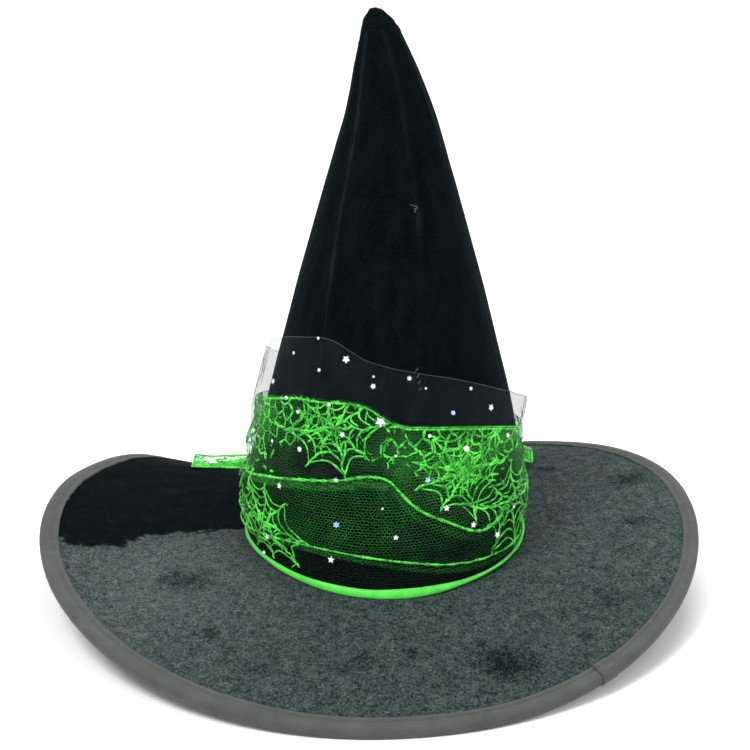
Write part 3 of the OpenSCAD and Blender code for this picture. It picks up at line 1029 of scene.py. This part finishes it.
def web(centre, reach, spokes, rings, start, thick):
    """A spider web: spokes from a hub, joined by sagging threads. Flat millimetres and widths."""
    hub = np.array(to_flat(*centre))
    strands, tips = [], []
    for k in range(spokes):
        angle = math.radians(start + 360 * (k + rng.uniform(-0.25, 0.25)) / spokes)
        length = reach * rng.uniform(0.75, 1.15)
        tips.append((angle, length))
        end = hub + length * np.array([math.cos(angle), math.sin(angle)])
        strands.append((wander(hub, end, max(4, int(length / 3)), 0.35), thick * rng.uniform(0.8, 1.3)))
    pairs = list(zip(tips, tips[1:] + [tips[0]]))
    for ring in range(1, rings + 1):
        share = (ring / (rings + 0.4)) ** 1.15
        for (a0, l0), (a1, l1) in pairs:
            if rng.random() < 0.12:
                continue
            if a1 < a0:
                a1 += 2 * math.pi
            r0, r1 = l0 * share * rng.uniform(0.9, 1.1), l1 * share * rng.uniform(0.9, 1.1)
            t = np.linspace(0, 1, 7)
            r = (r0 + (r1 - r0) * t) * (1 - 0.22 * np.sin(np.pi * t))
            a = a0 + (a1 - a0) * t
            line = hub + np.stack([r * np.cos(a), r * np.sin(a)], -1)
            strands.append((line, thick * rng.uniform(0.6, 1.0)))
    return strands


def cells(low, high, cell, keep, thick):
    """An irregular honeycomb of threads over a patch, thinned by keep(turn, z)."""
    u0, v0 = to_flat(*low)
    u1, v1 = to_flat(*high)
    columns, rows = int(2 * (u1 - u0) / cell) + 2, int((v1 - v0) / (cell * 0.72)) + 2
    knots = np.zeros((columns, rows, 2))
    for i in range(columns):
        for j in range(rows):
            step = 0.16 if (i + j) % 2 else -0.16
            knots[i, j] = (u0 + (i + rng.uniform(-0.34, 0.34)) * cell / 2,
                           v0 + (j + step + rng.uniform(-0.22, 0.22)) * cell * 0.72)
    strands = []
    for i in range(columns - 1):
        for j in range(rows - 1):
            for di, dj in ((1, 0), (0, 1)):
                if dj and (i + j) % 2 == 0:
                    continue
                a, b = knots[i, j], knots[i + di, j + dj]
                turn, z = from_flat(*((a + b) / 2))
                if rng.random() < keep(turn, z):
                    strands.append((wander(a, b, 5, 0.3), thick * rng.uniform(0.6, 1.4)))
    return strands


def bump_at(turn, z, centre, reach):
    """A soft weight, 1 at the centre, that falls away over the reach in turn and height."""
    du, dv = (wrap_turn(turn - centre[0])) / reach[0], (z - centre[1]) / reach[1]
    return np.exp(-(du**2 + dv**2))


def bump_sum(turn, z, bumps):
    """The sum of soft weights, each given as its size, centre and reach."""
    return sum(size * bump_at(turn, z, centre, reach) for size, centre, reach in bumps)


WEB_BUMPS = [(0.85, (40, 86), (38, 24)), (0.95, (-74, 94), (32, 28)), (0.4, (-36, 104), (20, 12)),
             (0.35, (-6, 98), (20, 16)), (0.55, (-66, 32), (22, 16)), (0.6, (84, 30), (16, 26)),
             (-1.2, (-8, 46), (34, 19)), (-1.0, (-26, 77), (26, 7)), (-0.8, (20, 24), (30, 12)),
             (-0.5, (70, 40), (10, 9))]


def web_share(turn, z):
    """How much of the web shows at a place: thick at the top and sides, thin in the middle."""
    turn = wrap_turn(turn)
    return 0.1 + 0.6 * behind(turn) + bump_sum(turn, z, WEB_BUMPS)


# The big webs, as the (turn, height) of each hub.
WEB_HUBS = [(-25, 105), (35, 75), (-60, 30), (60, 40)]
WEB_REACH = 40
WEB_FLATNESS = 0.7
SPOKES = 9
RINGS = 4
RING_SAG = 0.2
SPOKE_WIDTH = 0.75
RING_WIDTH = 0.5


def ring_thread(a, b, centre):
    """A thread between two spokes, which sags towards the hub."""
    t = np.linspace(0, 1, 10)[:, None]
    line = a + (b - a) * t
    return line - RING_SAG * 4 * t * (1 - t) * (line - centre)


def spider_web(hub):
    """A spider's web on the lace: uneven spokes that spread from a hub, and rings between them."""
    centre = np.array(to_flat(*hub), float)
    angles = 2 * np.pi * (np.arange(SPOKES) + rng.uniform(-0.25, 0.25, SPOKES)) / SPOKES
    reach = WEB_REACH * rng.uniform(0.75, 1.35, SPOKES)
    arms = np.stack([reach * np.cos(angles), WEB_FLATNESS * reach * np.sin(angles)], -1)
    lines = [(wander(centre, centre + arm, 14, 0.8), SPOKE_WIDTH) for arm in arms]
    for ring in range(1, RINGS + 1):
        ends = centre + arms * ring / (RINGS + 0.5)
        lines += [(ring_thread(ends[i - 1], ends[i], centre), RING_WIDTH) for i in range(SPOKES)]
    return lines


def edge_strand(first, last, edge, shift, width):
    """A thread that follows the edge of a layer."""
    turn = np.linspace(first, last, int(last - first))
    return np.stack(to_flat(turn, edge(turn) + shift), -1), width


def web_strands():
    """The finer threads between the big webs, and the webs round the back."""
    strands = []
    strands += cells((-100, 56), (-36, 122), 10.5, lambda turn, z: 1.1 * web_share(turn, z), 0.62)
    strands += cells((-2, 66), (98, 112), 11.0, lambda turn, z: 1.3 * web_share(turn, z), 0.7)
    strands += cells((-44, 80), (4, 124), 13.0, lambda turn, z: 0.8 * web_share(turn, z), 0.42)
    strands += cells((-98, 8), (-36, 60), 9.5, lambda turn, z: 1.1 * web_share(turn, z), 0.48)
    strands += cells((-58, 14), (60, 62), 12.0, lambda turn, z: 0.16, 0.28)
    strands += cells((44, 6), (98, 60), 8.0, lambda turn, z: 0.8 * web_share(turn, z), 0.5)
    strands += cells((98, 8), (262, 112), 10.5, lambda turn, z: 0.75, 0.55)
    strands += cells((-100, 60), (262, 122), 5.5, lambda turn, z: 0.5 * web_share(turn, z) - 0.2, 0.22)
    strands += web((33, 73), 15, 16, 2, -20, 0.42)
    strands += web((-30, 101), 20, 9, 2, 0, 0.3)
    for turn, z in ((112, 62), (150, 84), (184, 46), (214, 88), (244, 56)):
        strands += web((turn, z), 34, 14, 5, rng.uniform(0, 90), 0.6)
    return strands


def main_strands():
    """The big webs, and the threads that follow the layers' edges."""
    lines = [line for hub in WEB_HUBS for line in spider_web(hub)]
    lines.append(edge_strand(-92, 78, lace_edge, -2.2, 0.6))
    lines.append(edge_strand(2, 262, lace_edge, -0.9, 0.22))
    lines.append(edge_strand(-90, 60, fold_edge, 1.5, 0.9))
    lines.append(edge_strand(-90, 70, foot_edge, 6, 0.7))
    lines.append(edge_strand(96, 264, foot_edge, 3, 0.8))
    lines.append(edge_strand(96, 264, fold_edge, -1.5, 1.0))
    return lines


def settle(turn, z):
    """The lower roll is pulled a little round to the right, with all that is on it."""
    front = np.clip((100 - np.abs(wrap_turn(turn))) / 12, 0, 1)
    return turn + 3.0 * front * np.clip((70 - z) / 25, 0, 1), z


def fibres(path, width, normal):
    """Short hairs that stand out from a brushed thread."""
    steps = np.linalg.norm(np.diff(path, axis=0), axis=1)
    count = int(steps.sum() * 1.6)
    if count < 2:
        return []
    where = rng.uniform(0, len(path) - 1.001, count)
    low = where.astype(int)
    share = (where - low)[:, None]
    root = path[low] * (1 - share) + path[low + 1] * share
    up = normal[low] / np.linalg.norm(normal[low], axis=1, keepdims=True)
    along = path[low + 1] - path[low]
    along /= np.maximum(np.linalg.norm(along, axis=1, keepdims=True), 1e-6)
    across = np.cross(up, along)
    angle = rng.uniform(0, 2 * np.pi, (count, 1))
    way = along * np.cos(angle) + across * np.sin(angle) + up * rng.uniform(0.0, 0.5, (count, 1))
    tip = root + way * (width[low] + rng.uniform(0.3, 1.3, count))[:, None]
    side = np.cross(way, up) * 0.09
    lift = up * 0.09
    verts = np.stack([root - side, root + side, root + lift, tip], 1).reshape(-1, 3)
    faces = np.arange(count)[:, None, None] * 4 + np.array([[0, 1, 3], [1, 2, 3], [2, 0, 3], [0, 2, 1]])
    return [(verts, faces.reshape(-1, 3))]


def web_parts(strands, always=False):
    """Turns flat strands into tubes on the scarf, cut where the web is thin or the cloth ends."""
    parts, hairs = [], []
    for line, width in strands:
        turn, z = settle(*from_flat(line[:, 0], line[:, 1]))
        inside = (z < lace_edge(turn) - 0.4) & (z > HEM_TOP + 0.6)
        if not always:
            inside &= bool(rng.random() < 1.6 * web_share(turn.mean(), z.mean()) + 0.1)
        runs = np.split(np.arange(len(z)), np.where(np.diff(inside.astype(int)) != 0)[0] + 1)
        for run in runs:
            if len(run) < 3 or not inside[run[0]]:
                continue
            t, h = turn[run], z[run]
            fuzz = 1 + 0.6 * value_noise(np.stack([t * 1.6, h / 1.1, 0 * t], -1), 77)
            path = scarf_point(t, h, 0.35)
            parts.append(tube(path, width * fuzz, 6, scarf_normal(t), 0.6))
            hairs += fibres(path, width * fuzz, scarf_normal(t))
    return parts, hairs


def lace_web():
    """The web's threads and the short hairs along them."""
    fine, fine_hairs = web_parts(web_strands())
    main, main_hairs = web_parts(main_strands(), True)
    made = [add_mesh("lace_web_threads", *joined(fine), CORD),
            add_mesh("lace_main_threads", *joined(main), CORD),
            add_mesh("lace_thread_hairs", *joined(fine_hairs + main_hairs), CORD)]
    return made


# ---------------------------------------------------------------- sequins and stitches


def sequin_frame(turn, z, tilt):
    """Centre and two in-face directions of a sequin on the scarf."""
    above = z > lace_edge(turn)
    out = np.where(above, tulle_out(turn, z) + 0.5, scarf_out(turn, z) + 1.1)
    centre = crown_point(turn, z, out)
    a = math.radians(turn * (FRONT_TURN if abs(turn) < SIDE_TURN else 1))
    normal = np.array([math.sin(a), -math.cos(a), 0.28]) + tilt
    normal /= np.linalg.norm(normal)
    side = np.cross([0, 0, 1.0], normal)
    side /= np.linalg.norm(side)
    return centre, side, np.cross(normal, side), normal


def sequin(turn, z, size, points):
    """A cupped foil star, or a disc where points is 0."""
    tilt = rng.uniform(-0.22, 0.22, 3)
    turn, z = settle(turn, z)
    centre, side, up, normal = sequin_frame(turn, z, tilt)
    count = 2 * points if points else 20
    spin = rng.uniform(0, 2 * np.pi)
    a = spin + np.arange(count) * 2 * np.pi / count
    r = np.where(np.arange(count) % 2 == 0, 1.0, 0.48 if points else 1.0) * size / 2
    rings = []
    for share, lift in ((0.02, 0.0), (1.0, 0.12), (1.0, 0.26), (0.02, 0.16)):
        flat = (np.cos(a) * r * share)[:, None] * side + (np.sin(a) * r * share)[:, None] * up
        rings.append(centre + flat + lift * normal)
    verts = np.vstack(rings)
    faces = []
    for ring in range(4):
        first, second = ring * count, (ring + 1) % 4 * count
        for k in range(count):
            n = (k + 1) % count
            faces.append((first + k, first + n, second + n, second + k))
    return verts, np.array(faces)


# How much smaller the round sequins are than the sizes in DOTS, and how far sequins turn with the crown.
ROUND_SIZE = 0.75
FRONT_TURN = 0.78
SIDE_TURN = 98
# Star sequins as (turn, height, size, points), and round ones as (turn, height, size), in degrees and
# millimetres. The places are those of part.scad.
STARS = [(-23, 147, 5.4, 5), (-8, 132, 4.0, 5), (10, 137, 3.6, 5), (-71, 117, 4.2, 5), (55, 107, 5, 5),
         (-4, 111, 7.4, 5), (-21, 101, 4.4, 5), (63, 85, 4.2, 5), (-47, 61, 4.6, 5), (-21, 73, 3.6, 5),
         (24, 54, 4.4, 5), (35, 39, 4.6, 5), (48, 25, 5, 5), (2, 40, 3.8, 5), (-56, 22, 4.2, 5),
         (-24, 22, 5, 5), (95, 62, 5, 5), (128, 30, 5, 5), (150, 80, 4, 5), (205, 74, 5, 5),
         (232, 40, 5, 5), (250, 92, 5, 5)]
BLUES = [(17, 74, 4.8, 5), (-21, 46, 5, 6), (31, 112, 2.8, 0)]
DOTS = [(-59, 141, 2.6), (-42, 156, 2.4), (-38, 137, 2.8), (-8, 138, 1.8), (18, 130, 1.8),
        (43, 124, 2.8), (-41, 86, 4.2), (-59, 83, 2.8), (-46, 108, 3), (-80, 78, 3.6), (3, 90, 2.2),
        (18, 101, 3), (35, 89, 4.8), (61, 36, 2.6), (-2, 58, 1.8), (-62, 6, 3.2), (-56, 113, 3),
        (-29, 118, 3), (82, 70, 3), (112, 84, 3), (140, 48, 3), (160, 80, 3), (196, 96, 3),
        (222, 66, 3), (240, 20, 3), (258, 60, 3)]


def sequins():
    stars = add_mesh("star_sequin_foils", *joined([sequin(*s) for s in STARS]), FOIL, smooth=False)
    discs = [sequin(turn, z, ROUND_SIZE * size, 0) for turn, z, size in DOTS]
    dots = add_mesh("round_sequin_foils", *joined(discs), FOIL, smooth=False)
    blue = add_mesh("blue_sequin_foils", *joined([sequin(*s) for s in BLUES]), FOIL_BLUE, smooth=False)
    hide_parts("star_sequins")
    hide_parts("round_sequins")


def tack_threads():
    """The stitches that hold the tulle at the front right seam, and a loose end above them."""
    parts = []
    for k in range(4):
        z = 142 - 4.0 * k
        turn = 14 + 0.4 * k
        t = np.linspace(-1, 1, 7)
        path = crown_point(turn + 0.7 * t, z + 0.9 * t, 1.6 - 0.9 * t**2)
        parts.append(tube(path, 0.22))
    t = np.linspace(0, 1, 14)
    for base, height, swing in ((19.0, 239, 3.2), (21.5, 237, -2.0)):
        path = crown_point(base + swing * np.sin(t * 4), height + 3.2 * t, 0.8 + 1.6 * np.sin(t * np.pi))
        parts.append(tube(path, 0.16))
    piece = add_mesh("tack_threads", *joined(parts), LOOSE_THREAD)
    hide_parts("tack_stitches")


# ---------------------------------------------------------------- knot and tails

KNOT_LOW, KNOT_HIGH = box_mm("scarf_knot")
KNOT = (KNOT_LOW + KNOT_HIGH) / 2
KNOT_R = (KNOT_HIGH - KNOT_LOW) / 2
KNOT_WRAPS = 5
KNOT_THREADS = 26
TAIL_THREADS = 150
TAIL_PUFF = 14.0


def knot_cloth():
    """The half hitch behind the crown: a bundled lump with a wrapped turn over it."""
    turn = np.linspace(0, 2 * np.pi, 97)[:-1]
    rise = np.linspace(0.02, np.pi - 0.02, 48)
    a, b = np.meshgrid(turn, rise, indexing="ij")
    fold = 1 + 0.03 * np.sin(9 * a + 3 * np.cos(b)) + 0.05 * np.sin(5 * b + 2 * a)
    x = KNOT_R[0] * np.cos(b) * 1.02 * fold
    ring = np.sin(b) ** 0.8 * fold
    y = KNOT_R[1] * ring * np.cos(a) * 0.95
    z = KNOT_R[2] * 0.82 * ring * np.sin(a)
    lump = np.stack([x, y, z], -1) + KNOT
    piece = add_mesh("knot_cloth", lump, grid_faces(*a.shape, True), SATIN,
                     uv=np.stack([a * 12, b * 12], -1))
    parts = []
    for k in range(KNOT_WRAPS):
        t = np.linspace(0, 2 * np.pi, 60)
        wide = (k - 2) * 2.6
        path = np.stack([wide + 1.6 * np.sin(t + k), (KNOT_R[1] + 0.6) * np.cos(t),
                         (KNOT_R[2] * 0.86 + 0.4) * np.sin(t)], -1) + KNOT
        parts.append(tube(path, 1.5, 8))
    for _ in range(KNOT_THREADS):
        a0, b0 = rng.uniform(0, 2 * np.pi), rng.uniform(0.4, np.pi - 0.4)
        t = np.linspace(0, 1, 10)
        aa, bb = a0 + t * rng.uniform(-1.4, 1.4), b0 + t * rng.uniform(-0.8, 0.8)
        path = np.stack([KNOT_R[0] * np.cos(bb) * 1.05, KNOT_R[1] * np.sin(bb) * np.cos(aa) * 1.04,
                         KNOT_R[2] * 0.86 * np.sin(bb) * np.sin(aa) * 1.04], -1) + KNOT
        parts.append(tube(path, 0.5))
    cords = add_mesh("knot_threads", *joined(parts), CORD)
    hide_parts("scarf_knot")


def tail_middle(node, side):
    """The CAD ribbon's middle line by its reach, and its half width."""
    p = node_points(node)
    reach = side * p[:, 0]
    stops = np.linspace(reach.min(), reach.max(), 13)
    near = [np.abs(reach - stop) < 0.6 * (stops[1] - stops[0]) for stop in stops]
    low = np.polynomial.Polynomial.fit(stops, [p[i, 1].min() for i in near], 4)
    high = np.polynomial.Polynomial.fit(stops, [p[i, 1].max() for i in near], 4)
    z = smooth_curve(stops, [p[i, 2].mean() for i in near])
    return stops, lambda r: (low(r) + high(r)) / 2, lambda r: (high(r) - low(r)) / 2, z


def tail_cloth(side, node, body):
    """A loose end of the scarf: gathered at the knot, opening into a rippled lace ribbon."""
    stops, mid_y, half, mid_z = tail_middle(node, side)
    start, end = stops[0] - 6.0, stops[-1]
    word = "left" if side < 0 else "right"

    def point(t, c, lift=0.0):
        reach = start + (end - start) * t
        y = mid_y(reach) + c * half(reach) * (1 + 0.06 * np.sin(7 * t))
        floor = brim_height(side * reach, y) + 1.0
        rest = np.maximum(mid_z(reach) - 1.5, floor)
        ripple = 0.9 * np.clip(t * 2.2, 0, 1) * (1 + np.sin(c * 3.1 + 8 * t + side))
        gather = 3.0 * (1 - np.clip(t * 3, 0, 1)) * np.cos(c * 6)
        puffed = (TAIL_PUFF if side > 0 else 0.0) * np.exp(-(((t - 0.8) / 0.22) ** 2)) * (1 - 0.6 * c**2)
        z = np.maximum(rest + ripple + puffed + gather * 0.5, floor) + lift
        return np.stack(np.broadcast_arrays(side * reach, y, z), -1)

    ts, cs = np.meshgrid(np.linspace(0, 1, 110), np.linspace(-1, 1, 25), indexing="ij")
    faces = grid_faces(*ts.shape)
    length = end - start
    uv = np.stack([ts * length, cs * 16], -1)
    net = add_mesh(f"tail_net_{word}", point(ts, cs), faces, NET, body, uv=uv)
    # Painted light: the tail's net is painted lighter than the scarf's, and one noise varies both its
    # painted light and its matting.
    matting_and_light = 0.5 * fractal(np.stack([ts * length / 12, cs * 1.3, 0 * ts], -1), 3, 61 + side)
    paint(net, "lit", 0.75 + matting_and_light)
    paint(net, "haze", 0.55 + matting_and_light)
    parts = []
    for c in (-0.98, 0.98):
        t = np.linspace(0, 1, 90)
        parts.append(tube(point(t, c + 0 * t, 0.4), 0.9, flat=0.7))
    t = np.linspace(0, 1, 6)
    for _ in range(TAIL_THREADS):
        t0, c0 = rng.uniform(0, 1), rng.uniform(-1, 1)
        dt, dc = rng.uniform(-0.09, 0.09), rng.uniform(-0.6, 0.6)
        tt, cc = np.clip(t0 + dt * t, 0, 1), np.clip(c0 + dc * t, -1, 1)
        if np.ptp(tt) * length < 2 and np.ptp(cc) < 0.15:
            continue
        parts.append(tube(point(tt, cc, 0.4), rng.uniform(0.4, 0.85), flat=0.7))
    c = np.linspace(-1, 1, 20)
    parts.append(tube(point(1 + 0 * c, c, 0.4), 0.9, flat=0.7))
    cords = add_mesh(f"tail_threads_{word}", *joined(parts), CORD, body)
    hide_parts(node)


# ---------------------------------------------------------------- build


def build_hat():
    for i in range(6):
        gore_cloth(i)
    tip_cloth()
    inner_cone("stiffener_buckram", "crown_stiffener", BUCKRAM, 0.9)
    inner_cone("lining_cloth", "crown_lining", LINING, 0.5)
    sweatband_cloth()
    top = brim_sheet("brim_velvet", "brim_top_cover", BRIM_VELVET, 0.0, 21, 0.55)
    under = brim_sheet("brim_under_cloth", "brim_under_cover", UNDER, -BRIM_T + 0.7, 5, 0.12)
    rim_tape()
    rim_stitches()
    tape_join()


def build_scarf():
    upper = scarf_sheet("lace_upper_net", "scarf_upper_band", NET, lambda t: fold_edge(t) - 4, lace_edge,
                        upper_out)
    roll = scarf_sheet("lace_roll_net", "scarf_lower_roll", NET, lambda t: foot_edge(t) - 1,
                       lambda t: fold_edge(t) + 0.5, roll_out, rows=40, curl=2.2)
    foot = scarf_sheet("lace_foot_net", None, NET, lambda t: HEM_TOP - 1 + 0 * t,
                       lambda t: foot_edge(t) + 3, foot_out, rows=12)
    tulle = scarf_sheet("tulle_cloth", "tulle_band", TULLE, lambda t: fold_edge(t) + 4, tulle_edge,
                        tulle_out, rows=40)
    turn = np.arange(360.0)
    edge = crown_point(turn, tulle_edge(turn), tulle_out(turn, tulle_edge(turn)))
    edge_thread = add_mesh("tulle_edge_thread", *ring_tube(edge, 0.17), TULLE_EDGE)
    folds = []
    for side in (-1, 1):
        for k in range(7):
            base = side * (82 + 1.8 * k)
            low, high = lace_edge(base) - 2 * (side < 0), tulle_edge(base)
            span = np.linspace(low + (high - low) * rng.uniform(0, 0.5), high - rng.uniform(0, 9), 22)
            path_turn = base + 1.6 * value_noise(np.stack([span / 9, 0 * span, 0 * span + k], -1), 91)
            folds.append(tube(crown_point(path_turn, span, tulle_out(path_turn, span)), 0.15))
    fold_threads = add_mesh("tulle_fold_threads", *joined(folds), TULLE_EDGE)
    threads = lace_web()
    hem = hem_ring()
    sequins()
    tack_threads()
    knot_cloth()
    tail_cloth(-1, "scarf_tail_left", "tail_left")
    tail_cloth(1, "scarf_tail_right", "tail_right")


def paint_frame():
    """Materials for the CAD nodes that stay in view."""
    for name, material in (("brim_stiffener", BUCKRAM), ("brim_wire", STEEL)):
        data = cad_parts[name].data
        data.materials.clear()
        data.materials.append(material)


def build_stage():
    """A plain pale floor that curves up behind."""
    s = Shader("stage_white", Base_Color=(0.93, 0.93, 0.94, 1), Roughness=0.9, Specular_IOR_Level=0.1)
    wide, deep, bend = 6.0, 2.6, 1.2
    profile = [(-4.0, 0.0), (deep, 0.0)]
    profile += [(deep + bend * math.sin(t), bend * (1 - math.cos(t))) for t in np.linspace(0.15, 1.57, 12)]
    profile.append((deep + bend, 6.0))
    verts = [(x, y, FLOOR_Z + z) for y, z in profile for x in (-wide, wide)]
    mesh = bpy.data.meshes.new("floor")
    mesh.from_pydata(verts, [], [(2 * k, 2 * k + 1, 2 * k + 3, 2 * k + 2) for k in range(len(profile) - 1)])
    mesh.materials.append(s.material)
    floor = bpy.data.objects.new("floor", mesh)
    bpy.context.scene.collection.objects.link(floor)


def area_light(name, place, target, size, power, colour=(1, 1, 1)):
    light = bpy.data.lights.new(name, "AREA")
    light.shape = "DISK"
    light.size = size
    light.energy = power
    light.color = colour
    lamp = bpy.data.objects.new(name, light)
    lamp.location = place
    lamp.rotation_euler = (Vector(target) - Vector(place)).to_track_quat("-Z", "Y").to_euler()
    bpy.context.scene.collection.objects.link(lamp)


def build_light():
    world = bpy.data.worlds.new("studio")
    world.use_nodes = True
    world.node_tree.nodes["Background"].inputs["Color"].default_value = (1, 1, 1, 1)
    world.node_tree.nodes["Background"].inputs["Strength"].default_value = 0.85
    bpy.context.scene.world = world
    area_light("key", (-0.9, -0.9, 1.9), (0, 0, 0.05), 1.0, 34)
    area_light("top", (0.2, 0.7, 1.8), (0, 0, 0.05), 1.2, 20)
    area_light("fill", (1.3, -1.2, 0.9), (0, 0, 0.1), 1.2, 9)
    bpy.context.scene.view_settings.view_transform = "Standard"


PITCH = math.radians(19.4)
CAMERA_DISTANCE = 1.3975
AIM = Vector((0.0, -0.0046, 0.161))
LENS_MM = 102.336
AIM_LEFT = 0.0068
AIM_DOWN = 0.0319


def build_camera():
    """The photo's view, fitted to the hat's outline: it looks a little left of and below AIM."""
    back = Vector((0, -math.cos(PITCH), math.sin(PITCH)))
    up = Vector((0, math.sin(PITCH), math.cos(PITCH)))
    right = Vector((1, 0, 0))
    look = -back - right * AIM_LEFT - up * AIM_DOWN
    data = bpy.data.cameras.new("camera")
    data.sensor_width = 36.0
    data.lens = LENS_MM
    data.clip_start = 0.05
    camera = bpy.data.objects.new("camera", data)
    camera.location = AIM + back * CAMERA_DISTANCE
    camera.rotation_euler = look.to_track_quat("-Z", "Y").to_euler()
    bpy.context.scene.collection.objects.link(camera)
    bpy.context.scene.camera = camera


build_camera()
build_stage()
build_light()
build_hat()
build_scarf()
paint_frame()
